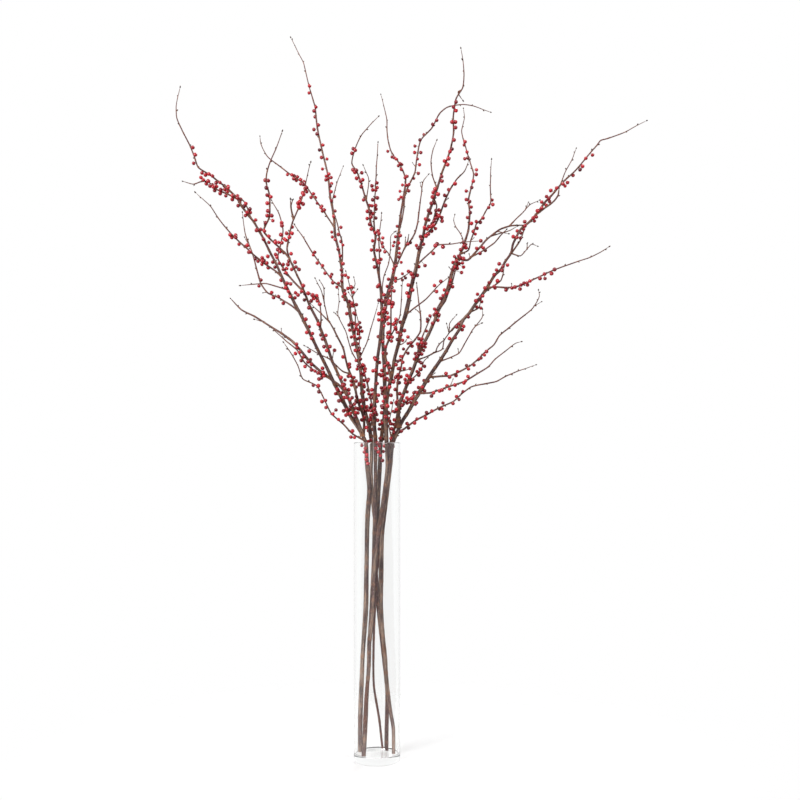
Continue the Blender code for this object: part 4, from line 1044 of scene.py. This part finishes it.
def growShoot(shoot, draw):
    # rings, buds and berry places of one shoot
    path, radii, run, drawnRuns = smoothPath(shoot["points"], shoot["radii"])
    shoot["startRun"] = drawnRuns[shoot["below"]]
    ahead, side, up = framesAlong(path)
    knots = knotsAlong(shoot, run, draw)
    turn, swell = draw.uniform(0.0, tau), np.zeros(len(run))
    turnStep, turnSpread = math.radians(wood["budTurn"][0]), wood["budTurn"][1]
    shift = np.zeros_like(path)
    steps, stepRuns = [np.zeros(3)], [shoot["startRun"]]
    shoot["knots"] = []
    for place, berried in knots:
        i = min(len(run) - 2, int(np.searchsorted(run, place)))
        way = math.cos(turn) * side[i] + math.sin(turn) * up[i]
        steps.append(way * wood["kink"] * draw.uniform(*wood["kinkRange"]))
        stepRuns.append(place)
        swell += np.exp(-((run - place) / wood["knotRun"]) ** 2)
        shoot["knots"].append({"i": i, "way": way, "berried": berried})
        turn += turnStep + draw.uniform(-turnSpread, turnSpread)
    steps.append(np.zeros(3))
    stepRuns.append(run[-1])
    place = draw.uniform(*wood["stemGap"])
    while place < shoot["startRun"]:
        length = (run - place) / wood["knotRun"] / wood["stemKnotRun"]
        swell += draw.uniform(*wood["stemKnot"]) * np.exp(-length ** 2)
        place += draw.uniform(*wood["stemGap"])
    for axis in range(3):
        shift[:, axis] = np.interp(run, stepRuns, np.array(steps)[:, axis])
    thinFrom, thinShare = wood["knotThin"]
    thin = np.clip(thinFrom / radii, thinShare, 1.0)
    radii = radii * (1.0 + wood["knot"] * thin * np.minimum(swell, 1.0))
    if not shoot["leader"]:
        radii = radii * (1.0 + wood["flare"] * np.exp(-run / wood["flareRun"]))
    blunt, bluntRun = wood["blunt"]
    radii = radii * (1.0 - blunt * np.clip((run - run[-1] + bluntRun) / bluntRun, 0.0, 1.0))
    shoot.update(path=path + shift, ringRadii=radii, run=run, ahead=ahead, side=side, up=up)
    shoot["knotMask"] = np.minimum(1.0, swell * weather["knotShade"])
    return shoot


def newBag(values):
    return {"verts": [], "faces": [], "slots": [], "values": {name: [] for name in values}, "count": 0}


def fill(bag, verts, faces, slot, **values):
    base = bag["count"]
    bag["verts"].append(np.asarray(verts, float).reshape(-1, 3))
    bag["faces"] += [tuple(base + i for i in face) for face in faces]
    bag["slots"] += [slot] * len(faces)
    for name, rows in bag["values"].items():
        rows.append(np.asarray(values[name], float).reshape(len(bag["verts"][-1]), -1))
    bag["count"] += len(bag["verts"][-1])


def pieceFromBag(name, bag, materials, node):
    mesh = bpy.data.meshes.new(name)
    mesh.from_pydata(np.concatenate(bag["verts"]), [], bag["faces"])
    mesh.polygons.foreach_set("material_index", bag["slots"])
    mesh.polygons.foreach_set("use_smooth", [True] * len(bag["faces"]))
    for label, rows in bag["values"].items():
        rows = np.concatenate(rows)
        kind, key = ("FLOAT_VECTOR", "vector") if rows.shape[1] == 3 else ("FLOAT", "value")
        mesh.attributes.new(label, kind, "POINT").data.foreach_set(key, rows.ravel())
    for material in materials:
        mesh.materials.append(material)
    piece = bpy.data.objects.new(name, mesh)
    bpy.context.scene.collection.objects.link(piece)
    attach(piece, "root")
    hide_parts(node)
    return piece


barkSlot, budSlot, cutSlot = 0, 1, 2
barkValues = ("barkCoord", "girth", "knot", "young", "wet", "pale")


def tubeFaces(rings, sides):
    faces = []
    for ring in range(rings - 1):
        low = ring * sides
        for side in range(sides):
            after = (side + 1) % sides
            faces.append((low + side, low + after, low + sides + after, low + sides + side))
    return faces


def even(count, **values):
    # the same values at every point, 0 where nothing is said
    return {name: np.full(count, values.get(name, 0.0)) for name in barkValues[1:]}


def ringValues(shoot, darkBand, tone):
    # what the bark material needs to know at each ring
    run, height = shoot["run"], shoot["path"][:, 2]
    young = np.clip(1.0 - (run[-1] - run) / weather["tipRun"], 0.0, 1.0)
    knot = shoot["knotMask"]
    if not shoot["leader"]:
        knot = np.maximum(knot, np.exp(-(run / weather["jointRun"]) ** 2))
    # a darker band on the leader, between two given heights
    wet = np.zeros(len(run))
    if darkBand and shoot["leader"]:
        low, high = darkBand
        edge = weather["bandEdge"]
        wet = np.clip((height - low) / edge, 0, 1) * np.clip((high - height) / edge, 0, 1)
    low, high = weather["paleBelow"]
    pale = tone + weather["paleBelowBy"] * np.clip((high - height) / (high - low), 0, 1)
    over, low = height > vase["height"], height < weather["foot"]
    pale -= weather["overRimBy"] * over + weather["footBy"] * low
    return {"girth": shoot["ringRadii"] / weather["fullGirth"], "knot": knot, "young": young,
            "wet": wet, "pale": np.clip(pale, 0, 1)}


def meshShoot(bag, shoot, darkBand, tone, draw):
    sides = wood["leaderSides"] if shoot["leader"] else wood["shootSides"]
    run, radii, path = shoot["run"], shoot["ringRadii"], shoot["path"]
    turns = np.linspace(0.0, tau, sides, endpoint=False)
    first, second = draw.uniform(0.0, tau), draw.uniform(0.0, tau)
    slow, fast = wood["lumpTurns"]
    lumps = (1.0 + wood["lump"] * np.sin(2 * turns[None, :] + first + run[:, None] * slow)
             + wood["lumpSecond"] * wood["lump"]
             * np.sin(3 * turns[None, :] + second - run[:, None] * fast))
    reach = radii[:, None] * lumps
    out = (np.cos(turns)[None, :, None] * shoot["side"][:, None, :]
           + np.sin(turns)[None, :, None] * shoot["up"][:, None, :])
    verts = (path[:, None, :] + reach[:, :, None] * out).reshape(-1, 3)
    offset = draw.uniform(0.0, 9.0)
    flat = np.stack([reach * np.cos(turns), reach * np.sin(turns),
                     np.repeat(run[:, None] + offset, sides, axis=1)], axis=2).reshape(-1, 3)
    values = {name: np.repeat(rows, sides) for name, rows in ringValues(shoot, darkBand, tone).items()}
    top = bag["count"] + (len(run) - 1) * sides
    fill(bag, verts, tubeFaces(len(run), sides), barkSlot, barkCoord=flat, **values)
    if shoot["leader"]:
        capCut(bag, shoot, verts[:sides], flat[:sides])
    tip = bag["count"]
    point = path[-1] + shoot["ahead"][-1] * radii[-1] * wood["tipPoint"]
    fill(bag, [point], [], barkSlot, barkCoord=[flat[-1]], **even(1, girth=0.2, young=1.0, pale=tone))
    for side in range(sides):
        bag["faces"].append((top + side, top + (side + 1) % sides, tip))
        bag["slots"].append(barkSlot)


# the sawn end from its rim inwards: a narrow bevel, then the cut face, as (width, drop in metres)
cutShape = ((0.92, 0.00012), (0.45, 0.0002), (0.0, 0.0002))


def capCut(bag, shoot, ring, flat):
    centre = shoot["path"][0]
    rows, coords = [ring], [flat]
    for share, drop in cutShape:
        rows.append(centre + (ring - centre) * share - shoot["ahead"][0] * drop)
        coords.append(flat * (share, share, 1.0))
    faces = [tuple(reversed(face)) for face in tubeFaces(len(rows), len(ring))]
    fill(bag, np.concatenate(rows), faces, cutSlot, barkCoord=np.concatenate(coords),
         **even(len(rows) * len(ring), girth=0.3, pale=0.5))


def spokes(way, sides):
    # unit steps all round a direction
    side = way.orthogonal().normalized()
    up = way.cross(side)
    turns = [tau * i / sides for i in range(sides)]
    return [side * math.cos(turn) + up * math.sin(turn) for turn in turns]


bud = {
    "sides": 6,
    "width": 0.0012,
    "length": 0.0037,
    "shape": ((0.0, 0.55), (0.30, 0.95), (0.60, 0.85), (0.85, 0.45)),   # (along, wide)
    "size": (0.75, 1.15),
    "tipSize": (1.0, 1.3),
    "spurSize": (0.8, 1.15),
}


def addBud(bag, place, way, size, draw):
    # a small pointed bud that leans along the twig
    way = Vector(way).normalized()
    sides, verts, coords = bud["sides"], [], []
    for along, wide in bud["shape"]:
        for out in spokes(way, sides):
            rise, width = along * bud["length"] * size, wide * bud["width"] * size
            verts.append(place + way * rise + out * width)
            coords.append((out.x * mm, out.y * mm, along * bud["length"]))
    verts.append(place + way * (bud["length"] * size))
    coords.append((0, 0, bud["length"]))
    coords = np.array(coords) + draw.uniform(0.0, 5.0)
    faces = tubeFaces(len(bud["shape"]), sides)
    top = (len(bud["shape"]) - 1) * sides
    faces += [(top + i, top + (i + 1) % sides, len(verts) - 1) for i in range(sides)]
    fill(bag, verts, faces, budSlot, barkCoord=coords, **even(len(verts), girth=0.2))


# a short side twig from root to tip: (share of its length, width, knot, young)
spurShape = ((0.0, 1.5, 0.9, 0.0), (0.12, 1.05, 0.5, 0.0), (0.4, 0.9, 0.0, 0.1), (0.7, 0.85, 0.0, 0.3),
             (1.0, 0.7, 0.2, 0.6))


def addSpur(bag, place, way, radius, draw):
    length = draw.uniform(*wood["spurLength"])
    way = Vector(way).normalized()
    bend = Vector((draw.uniform(-1, 1), draw.uniform(-1, 1), draw.uniform(-0.2, 1.2))) * 0.25
    sides, path, verts, coords = wood["spurSides"], [], [], []
    offset = draw.uniform(0.0, 9.0)
    for share, wide, knot, young in spurShape:
        path.append(place + way * (length * share) + bend * (length * share * share))
        wide *= radius
        for i, out in enumerate(spokes(way, sides)):
            turn = tau * i / sides
            verts.append(path[-1] + out * wide)
            coords.append((wide * math.cos(turn), wide * math.sin(turn), offset + share * length))
    values = even(len(verts), girth=0.15, pale=0.5)
    values["knot"], values["young"] = (np.repeat([row[i] for row in spurShape], sides) for i in (2, 3))
    fill(bag, verts, tubeFaces(len(spurShape), sides), barkSlot, barkCoord=coords, **values)
    onward = (path[-1] - path[-2]).normalized()
    addBud(bag, path[-1] - way * 0.0004, onward, draw.uniform(*bud["spurSize"]), draw)


def dressShoot(bag, shoot, draw):
    # the buds and spurs of one shoot, where no berry hangs
    for knot in shoot["knots"]:
        if knot["berried"]:
            continue
        i = knot["i"]
        radius = shoot["ringRadii"][i]
        way = Vector(knot["way"])
        ahead = Vector(shoot["ahead"][i])
        place = Vector(shoot["path"][i]) + way * (radius * 0.8)
        inner = wood["spurFrom"] < shoot["run"][i] < shoot["run"][-1] * wood["spurReach"]
        if draw.random() < wood["spurShare"] and inner:
            addSpur(bag, place, way * 0.8 + ahead * 0.6, min(radius * 0.6, wood["spurRadius"]), draw)
        else:
            addBud(bag, place, way * 0.65 + ahead * 0.8, draw.uniform(*bud["size"]), draw)
    addBud(bag, Vector(shoot["path"][-1]), shoot["ahead"][-1], draw.uniform(*bud["tipSize"]), draw)


# the berries

berry = {
    "radius": 0.00370,
    "spread": 0.09,
    "flat": 0.95,              # a little shorter than wide
    "sides": 12,
    "scarRows": 3,             # the last rows of its outline are the dark scar
    "stalk": (0.0, 0.0006),
    "stalkRadius": 0.00042,
    "stalkSides": 5,
    "stalkSink": 0.7,          # where the stalk starts inside the wood, in the wood's radii
    "stalkReach": 0.8,         # where it ends inside the berry, in the berry's radii
    "amount": (0.54, 0.35),    # how often one or two hang at a bud, otherwise three
    "tries": 9,
    "swing": (0.5, 1.5, 0.2),    # radians round the twig: the first, the others, more at each try
    "lean": (-0.25, 0.75),     # towards the twig's tip
    "droop": (0, 0, -0.12),
    "frontward": 0.2,          # how much more of them hang on the side that faces the light
    "longer": 0.12,            # how much longer the stalk is at each try
    "woodReach": 0.25,         # from bud to berry, in the wood's radii and in the berry's
    "berryReach": 0.76,
    "ripeness": (0.36, 0.31),    # middle and spread, 0 bright and 1 deep red
    "tracedRipeness": (0.33, 0.29),
    "tracedReach": (0.80, 0.08),   # the same reach for a traced one, and more at each try
    "inFront": 1.3,            # one seen this near the twig, in its radii, hangs in front of it
    "woodPress": 0.70,         # how near its middle may be to wood and to other berries, in radii
    "berryPress": 0.86,
    "glassGap": 0.0003,
}
# half outlines from stalk to tip, (out, along), and from root to end, (along, wide)
berryOutline = ((0.0, -0.86), (0.20, -0.93), (0.50, -0.84), (0.78, -0.60), (0.96, -0.22), (0.99, 0.18),
                (0.85, 0.55), (0.56, 0.84), (0.24, 0.965), (0.15, 0.955), (0.10, 1.02), (0.0, 1.03))
stalkOutline = ((0.0, 1.5), (0.35, 1.0), (1.0, 1.15))
skinSlot, stalkSlot = 0, 1
berryValues = ("ripeness", "scar", "skinCoord")


def addBerry(bag, centre, way, radius, ripeness, draw):
    way = way.normalized()
    verts, scars = [], []
    for row, (out, along) in enumerate(berryOutline):
        for rim in spokes(way, berry["sides"]):
            verts.append(centre + rim * (out * radius) + way * (along * radius * berry["flat"]))
            scars.append(1.0 if row >= len(berryOutline) - berry["scarRows"] else 0.0)
    coords = np.array(verts) + draw.uniform(0.0, 3.0)
    fill(bag, verts, tubeFaces(len(berryOutline), berry["sides"]), skinSlot,
         ripeness=np.full(len(verts), ripeness), scar=scars, skinCoord=coords)


def addStalk(bag, start, end, draw):
    sides = berry["stalkSides"]
    outs = spokes((end - start).normalized(), sides)
    verts = [start.lerp(end, share) + out * (wide * berry["stalkRadius"])
             for share, wide in stalkOutline for out in outs]
    count = len(verts)
    fill(bag, verts, tubeFaces(len(stalkOutline), sides), stalkSlot, ripeness=np.zeros(count),
         scar=np.zeros(count), skinCoord=np.array(verts) + draw.uniform(0.0, 3.0))


class Crowd:
    # what the berries must keep clear of: wood, glass and one another
    def __init__(self, shoots):
        self.wood = np.concatenate([shoot["path"] for shoot in shoots])
        self.thick = np.concatenate([shoot["ringRadii"] for shoot in shoots])
        self.berries = np.zeros((4000, 3))
        self.sizes = np.zeros(4000)
        self.count = 0

    def clear(self, centre, radius):
        place = np.array(centre)
        near = np.linalg.norm(self.wood - place, axis=1) - self.thick
        if near.min() < radius * berry["woodPress"]:
            return False
        taken = self.berries[:self.count]
        if self.count:
            apart = np.linalg.norm(taken - place, axis=1) - self.sizes[:self.count]
            if apart.min() < radius * berry["berryPress"]:
                return False
        out = math.hypot(centre.x, centre.y)
        if centre.z < vase["height"] + radius:
            inner = vase["radius"] - vase["wall"] - berry["glassGap"]
            return out + radius < inner and centre.z > vase["floor"] + radius
        return True

    def add(self, centre, radius):
        self.berries[self.count] = centre
        self.sizes[self.count] = radius
        self.count += 1


# berries whose places the photograph shows plainly: node, then (across, down) for each
tracedBerries = {
    "branch_left": [
        (192.8, 147.5), (195.3, 154.7), (193.7, 163.3), (202, 173), (205.5, 175), (209, 174),
        (212.5, 176), (201, 177.5), (203.5, 180), (208.3, 181), (210, 186), (214.7, 190.5),
        (216.5, 186.5), (220, 182.5), (362, 445.5), (365.5, 448.5), (367, 455), (368, 463.5),
        (364.5, 452), (366.5, 459.5), (352.5, 431), (351, 437), (354.5, 437.5), (343, 421),
        (338.5, 419.5), (333, 414), (336, 410), (326, 407.5), (325.5, 400.5), (322, 401.5), (319, 391.7),
        (318.3, 385.8), (313.3, 385.3), (296.7, 344), (297, 348), (295.5, 353.5), (299.5, 352.5),
        (303.5, 357), (301.3, 360.5), (308, 362), (310.5, 359.5), (311.5, 364.5), (305, 366.5),
        (311.5, 370), (315, 371), (318, 373), (322.5, 368.3), (323.3, 372.5), (321.5, 378), (319, 379),
        (324, 376), (305.8, 319.2), (309.2, 326.7), (306.7, 332.5), (312.5, 333.5), (311.5, 338.5),
        (271.7, 292.5), (273.5, 297.5), (278.5, 296.5), (283.3, 303.3), (261, 280), (259, 286),
        (309.2, 351.2), (318.3, 324.2), (320.8, 335), (326, 335.3), (322.5, 339), (324, 346.7),
        (330, 346.5), (326.7, 350.5), (334.5, 350.3), (341, 377.5), (345, 380), (343, 385), (345, 388.5),
        (349, 393.5), (267.8, 211), (267.2, 215.6), (271.7, 215.6), (272.8, 220.6), (265.6, 222.8),
        (264.4, 231), (268.9, 236.3), (268.9, 242.4), (281.7, 222.8), (282, 225.6), (280.9, 234.7),
        (284.4, 239), (286, 240.2), (282, 242.8), (278.7, 242.4), (277.8, 249.7), (275.6, 254.5),
        (277, 257.3), (267.8, 256.4), (262.2, 257.8), (263.9, 260.6), (272.8, 262.2), (279.4, 263.3),
        (275, 267.2), (268.3, 267.6), (283.3, 264.4), (283.3, 269.4), (286.7, 268.5), (286, 273),
        (288, 264.4), (291.1, 253.7), (288.9, 261), (291.7, 269.4), (295, 262.2), (296, 267),
        (299, 269.4), (292.2, 227), (292, 233.3), (286.7, 233.3), (289.4, 237.2), (281.3, 280.2),
        (287, 283.3), (290.6, 283.9), (285.6, 287.8), (288.3, 291.4), (290, 296.7), (295.6, 292.8),
        (298, 295), (295, 297.8), (303.3, 285.6), (305, 293.9), (308.3, 293.3), (312.2, 295.3),
        (316.7, 295.6), (317.2, 301), (304.4, 300), (311.1, 301), (308.9, 307.8)],
    "branch_tall": [
        (309.5, 86), (309, 93), (316, 107), (314, 111), (315, 117), (318.5, 125), (314, 129.5),
        (317, 134), (323, 145), (319.5, 150), (321.5, 157.5), (327, 159), (322.5, 169), (329, 174),
        (314.8, 252.2), (313.3, 255), (317.2, 263.1), (322.5, 265.6), (325, 273.3), (330.6, 276.5),
        (331.8, 274.3), (332.8, 282.8), (336.9, 287.2), (338.5, 283.3), (331.5, 200.8), (331.2, 191.7),
        (334.6, 196.5), (335.1, 211), (333.6, 216.4), (340.9, 227.3), (331.8, 232.1), (332.4, 237),
        (335, 239.6), (338.4, 234.5), (341, 241.5), (342.9, 245), (338, 249.3), (340.4, 255.8),
        (343, 263.7), (341.2, 270), (342, 275), (345.2, 275.3), (341.7, 281)],
    "branch_centre": [
        (377.5, 443), (379.5, 446), (378.5, 452), (380.5, 455.5), (376, 448.5), (353.3, 148.7),
        (355.3, 150.3), (352, 153.3), (353, 169.8), (355, 172.2), (356.3, 170.3), (361.8, 172.8),
        (356.7, 178.3), (360.5, 181.2), (362.7, 179.8), (361.3, 186.7), (376.8, 182.8), (372, 185.8),
        (372.8, 190), (375.8, 190.3), (377.3, 197.8), (372.8, 199.8), (363.5, 200), (369.5, 205.6),
        (372, 205.8), (375.6, 205.5), (375.8, 209), (370.4, 211.6), (367.4, 211.4), (372.4, 213.6),
        (375.8, 218), (367.2, 218.5), (371, 217), (369.8, 224.3), (371.4, 229), (375.2, 232.7),
        (379, 233.5), (378.2, 230.8), (372.6, 240.8), (371.4, 250), (376.9, 250.2), (379.8, 250.4),
        (373.8, 259.6), (378, 260.8), (380.8, 259.3), (379.2, 262.8), (374.6, 267.1)],
    "branch_forked": [
        (387.8, 151.3), (392, 157), (394, 157.5), (396, 159), (398.3, 165.8), (400, 163.5),
        (401.7, 164.5), (401.3, 169.5), (405, 177.7), (407, 176.3), (402.5, 185), (406.2, 185.3),
        (400, 191.3), (408.7, 190.8), (401, 197.2), (403.8, 197.8), (398.7, 199.5), (383.5, 451.5),
        (382.5, 460.5), (384.5, 446), (415, 146), (414.7, 152.5), (420.8, 152.5), (417.5, 159),
        (419.5, 164.7), (418.3, 173.3), (413.7, 178.3), (424, 134.7), (420, 140), (432.8, 124.3),
        (436.7, 120.3), (410.3, 242.5), (409, 184.5), (408, 244), (378.9, 239.4), (382.8, 237.9),
        (382.1, 243), (382.8, 246.8), (384.9, 251.8), (397.2, 226.3), (400.3, 235.5), (395.5, 236.7),
        (394.3, 242.2), (398.8, 243), (393.3, 245.8), (399, 248.4), (399.4, 253.2), (399, 257),
        (401.2, 262.3), (396, 265.9), (393.6, 269), (393.4, 272.7), (395.7, 278), (402.4, 273.7),
        (402.4, 280), (388.5, 279.2), (387.3, 286.4), (392.1, 287.4)],
    "branch_short": [
        (392, 453.5), (393.5, 446.5), (408, 337), (408, 343.5), (403.5, 349)],
    "branch_right_tall": [
        (456, 102), (453.5, 107), (456, 110.5), (452, 122), (455.3, 122), (455.5, 127.5), (454, 140),
        (452, 149), (450, 151.5), (448.5, 158.5), (444.5, 161), (447.5, 164.5), (441.5, 176.5),
        (442, 181), (455, 183.7), (448.7, 189.7), (444.7, 195.3), (445.3, 205.5), (435, 189),
        (433.5, 192.5), (438, 194.2), (432.5, 197), (431.3, 203.3), (428.7, 210.5), (430.5, 213),
        (425.5, 219), (428.8, 220), (424.5, 227.5), (427.2, 229), (420.5, 236.5), (421.5, 239),
        (423.5, 244.2), (416.5, 245.5), (418, 248), (418.8, 266.7), (411.5, 274), (413, 277),
        (417.2, 275.3), (408.3, 285), (412.5, 290), (407, 293), (408.5, 296.5), (436, 210.5),
        (438.9, 210), (436.5, 214.5), (441.7, 217.5), (442, 221), (435.8, 218), (434, 221), (439, 216),
        (433.3, 225), (435.5, 228.5), (430.8, 226.5), (428.3, 234), (431.5, 231), (426, 236),
        (425, 265.5), (434.5, 285.5), (436.5, 291.5), (440.8, 281.3)],
    "branch_right": [
        (454.5, 256.5), (458.5, 256), (453, 262.5), (456.5, 261), (460.5, 257.5), (463.5, 258.5),
        (457, 266), (454, 267), (462.5, 263), (463.5, 267), (452.5, 269.5), (461.5, 272.5), (459, 263.5),
        (401.5, 431), (407, 423.5), (408.5, 428), (414.5, 423), (417, 419), (425.5, 418), (426.5, 412.5),
        (432, 411), (439.5, 409), (442, 409), (443, 403), (453, 403.5), (456.5, 396.5), (459, 399.5),
        (463, 391.5), (431.5, 396), (433.5, 393), (439.5, 391), (442, 390), (447, 386), (449.5, 389),
        (455, 385), (464, 383), (465.5, 381), (468, 376.5), (446, 373.5), (449.5, 377), (457.5, 371.5),
        (456, 375.5), (466.5, 365.5), (468.5, 369), (474, 365), (479, 359), (481, 358), (484.5, 355),
        (486.5, 351.5), (495, 288), (506, 290), (512, 288), (515, 287), (520, 289), (521, 285),
        (524, 283), (527, 283), (527.5, 285), (530, 281), (540, 278.5), (545, 278.5), (544.5, 274),
        (551.5, 273.5), (554.5, 269.5), (465, 141.7), (464.2, 145), (467, 152), (468, 158),
        (464.8, 158.7), (476.5, 169.8), (476.2, 174.4), (473.3, 181.2), (471.7, 187.5), (466.3, 191),
        (466.3, 199.5), (469.5, 201.5), (471.3, 207), (470.3, 212.5), (467.5, 217.5), (471.4, 223.4),
        (492, 200), (492.8, 204.5), (488.7, 207.5), (483, 218), (476.3, 221.5), (480.3, 222.3),
        (477, 228.3), (473, 231.5), (475.3, 234), (480.8, 240.8), (476.7, 248.3), (483.2, 247.8),
        (485.3, 250.5), (480, 253.3), (592.5, 155), (585.8, 158.3), (582.5, 166.3), (580, 169.7),
        (573, 175.3), (567.5, 182.5), (563, 184), (565, 186), (556.7, 188), (550.8, 190.5),
        (548.8, 198.3), (546.5, 196.5), (541.7, 202), (549.5, 201.5), (546, 205), (537.5, 210.8),
        (541.7, 208), (533.3, 218), (536.5, 217), (534.4, 221), (524.7, 221.7), (525, 225.8),
        (523.5, 229), (517.3, 231), (521, 233), (513.3, 236.7), (517, 237.5), (520.5, 238),
        (499.2, 263.8), (503, 266.5), (507.5, 265), (496.5, 270), (502, 270.5), (494, 274.7),
        (497.5, 280.8), (494.2, 286.5), (477.5, 294.2), (480, 298), (482.8, 296), (475.8, 300.8),
        (481.7, 301.7), (485, 288), (489, 282.5), (450, 280.5), (452.5, 286.7), (444.5, 290),
        (447, 293.3), (443, 295.5), (440.5, 298.3), (449.5, 284), (434.5, 309), (439.2, 314.7),
        (430, 315.8), (427.5, 321.5), (432.5, 323.3), (436, 312.5)],
}


def onDrawing(points):
    # where the photograph shows points of the room
    unit = drawing["unit"] * (drawing["eyeDistance"] + points[:, 1]) / drawing["eyeDistance"]
    eye = (drawing["eyeAcross"] - drawing["axisAcross"]) * drawing["unit"]
    return np.stack([drawing["eyeAcross"] + (points[:, 0] - eye) / unit,
                     drawing["rimDown"] - (points[:, 2] - vase["height"]) / unit], axis=1)


def sizeFrom(draw):
    return berry["radius"] * (1.0 + draw.uniform(-1, 1) * berry["spread"])


def ripenessFrom(draw, about):
    return min(1.0, max(0.0, draw.gauss(*about)))


def hangTraced(bag, node, shoots, crowd, draw):
    path = np.concatenate([shoot["path"] for shoot in shoots])
    thick = np.concatenate([shoot["ringRadii"] for shoot in shoots])
    flat = onDrawing(path)
    for across, down in tracedBerries[node]:
        near = int(np.argmin(np.hypot(flat[:, 0] - across, flat[:, 1] - down) * drawing["unit"] - thick))
        base, radius = Vector(path[near]), thick[near]
        for attempt in range(berry["tries"]):
            size = sizeFrom(draw)
            beside = (spot(across, down, base.y) - base).length
            reach = radius + size * (berry["tracedReach"][0] + berry["tracedReach"][1] * attempt)
            back = math.sqrt(max(0.0, reach * reach - beside * beside))
            front = -1 if beside < radius * berry["inFront"] else draw.choice((-1, -1, 1))
            centre = spot(across, down, base.y + back * front)
            if crowd.clear(centre, size) or attempt == berry["tries"] - 1:
                toward = (centre - base).normalized()
                crowd.add(centre, size)
                addStalk(bag, base + toward * (radius * berry["stalkSink"]),
                         centre - toward * (size * berry["stalkReach"]), draw)
                addBerry(bag, centre, toward, size, ripenessFrom(draw, berry["tracedRipeness"]), draw)
                break


def hangBerries(bag, shoot, crowd, draw):
    first, other, more = berry["swing"]
    for knot in shoot["knots"]:
        if not knot["berried"]:
            continue
        i = knot["i"]
        radius = shoot["ringRadii"][i]
        ahead = Vector(shoot["ahead"][i])
        way = Vector(knot["way"])
        lot = draw.random()
        many = 1 if lot < berry["amount"][0] else 2 if lot < sum(berry["amount"]) else 3
        for one in range(many):
            size = sizeFrom(draw)
            ripeness = ripenessFrom(draw, berry["ripeness"])
            for attempt in range(berry["tries"]):
                swing = first if one == 0 and attempt == 0 else other + more * attempt
                out = way.copy()
                out.rotate(Matrix.Rotation(draw.uniform(-swing, swing), 3, ahead))
                out.y -= berry["frontward"]
                out.normalize()
                lean = draw.uniform(*berry["lean"])
                toward = (out + ahead * lean + Vector(berry["droop"])).normalized()
                length = draw.uniform(*berry["stalk"]) * (1.0 + berry["longer"] * attempt)
                start = Vector(shoot["path"][i]) + out * (radius * berry["stalkSink"])
                reach = radius * berry["woodReach"] + length + size * berry["berryReach"]
                centre = start + toward * reach
                if crowd.clear(centre, size):
                    crowd.add(centre, size)
                    addStalk(bag, start, centre - toward * (size * berry["stalkReach"]), draw)
                    addBerry(bag, centre, toward, size, ripeness, draw)
                    break


# the vase

def makeVase():
    inside = vase["radius"] - vase["wall"]
    middle = vase["radius"] - vase["wall"] / 2
    lip, corner, foot = vase["wall"] / 2, vase["cornerRound"], vase["footRound"]
    floor, edge, under = vase["floor"], vase["edge"], vase["height"] - vase["wall"] / 2
    outline = [(inside - corner + corner * math.sin(turn), floor + corner - corner * math.cos(turn))
               for turn in np.linspace(0.0, math.pi / 2, 6)]
    # a ring close to each bend keeps the tall walls' normals level
    outline += [(inside, floor + corner + edge), (inside, under - edge)]
    outline += [(middle - lip * math.cos(turn), under + lip * math.sin(turn))
                for turn in np.linspace(0.0, math.pi, 13)]
    outline += [(vase["radius"], under - edge), (vase["radius"], foot + edge)]
    outline += [(vase["radius"] - foot + foot * math.cos(turn), foot - foot * math.sin(turn))
                for turn in np.linspace(0.0, math.pi / 2, 7)]
    sides, rings = vase["sides"], len(outline)
    verts = [(out * math.cos(tau * i / sides), out * math.sin(tau * i / sides), height)
             for out, height in outline for i in range(sides)]
    faces = tubeFaces(rings, sides)
    verts += [(0.0, 0.0, floor), (0.0, 0.0, 0.0)]
    last = (rings - 1) * sides
    for i in range(sides):
        after = (i + 1) % sides
        faces.append((i, len(verts) - 2, after))
        faces.append((last + i, last + after, len(verts) - 1))
    faces = [tuple(reversed(face)) for face in faces]
    mesh = bpy.data.meshes.new("glassVase")
    mesh.from_pydata(verts, [], faces)
    mesh.polygons.foreach_set("use_smooth", [True] * len(faces))
    mesh.set_sharp_from_angle(angle=math.radians(50))
    mesh.materials.append(glassMaterial)
    piece = bpy.data.objects.new("glassVase", mesh)
    piece.visible_shadow = piece.visible_diffuse = False     # it lets the light through to the stems
    bpy.context.scene.collection.objects.link(piece)
    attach(piece, "root")
    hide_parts("vase")
    return piece


def pieceName(node, ending):
    words = node.split("_")
    return words[0] + "".join(word.capitalize() for word in words[1:]) + ending


grown = {}
for node, branch in branches.items():
    draw = random.Random(len(node) * 7 + len(branch["shoots"]))
    grown[node] = [growShoot(shoot, draw) for shoot in placeBranch(branch)]
crowd = Crowd([shoot for shoots in grown.values() for shoot in shoots])

for node, shoots in grown.items():
    draw = random.Random(len(node) * 11 + len(shoots))
    woodBag, berryBag = newBag(barkValues), newBag(berryValues)
    before = crowd.count
    hangTraced(berryBag, node, shoots, crowd, draw)
    for shoot in shoots:
        meshShoot(woodBag, shoot, branches[node]["dark"], branches[node]["tone"], draw)
        dressShoot(woodBag, shoot, draw)
        hangBerries(berryBag, shoot, crowd, draw)
    pieceFromBag(pieceName(node, "Wood"), woodBag, (barkMaterial, budMaterial, cutMaterial), node)
    pieceFromBag(pieceName(node, "Berries"), berryBag, (berryMaterial, stalkMaterial), node)
    print(node, "grown:", len(shoots), "shoots,", crowd.count - before, "berries,",
          2 * len(woodBag["faces"]), "wood and", 2 * len(berryBag["faces"]), "berry triangles")

makeVase()
print("vase made;", crowd.count, "berries in all")
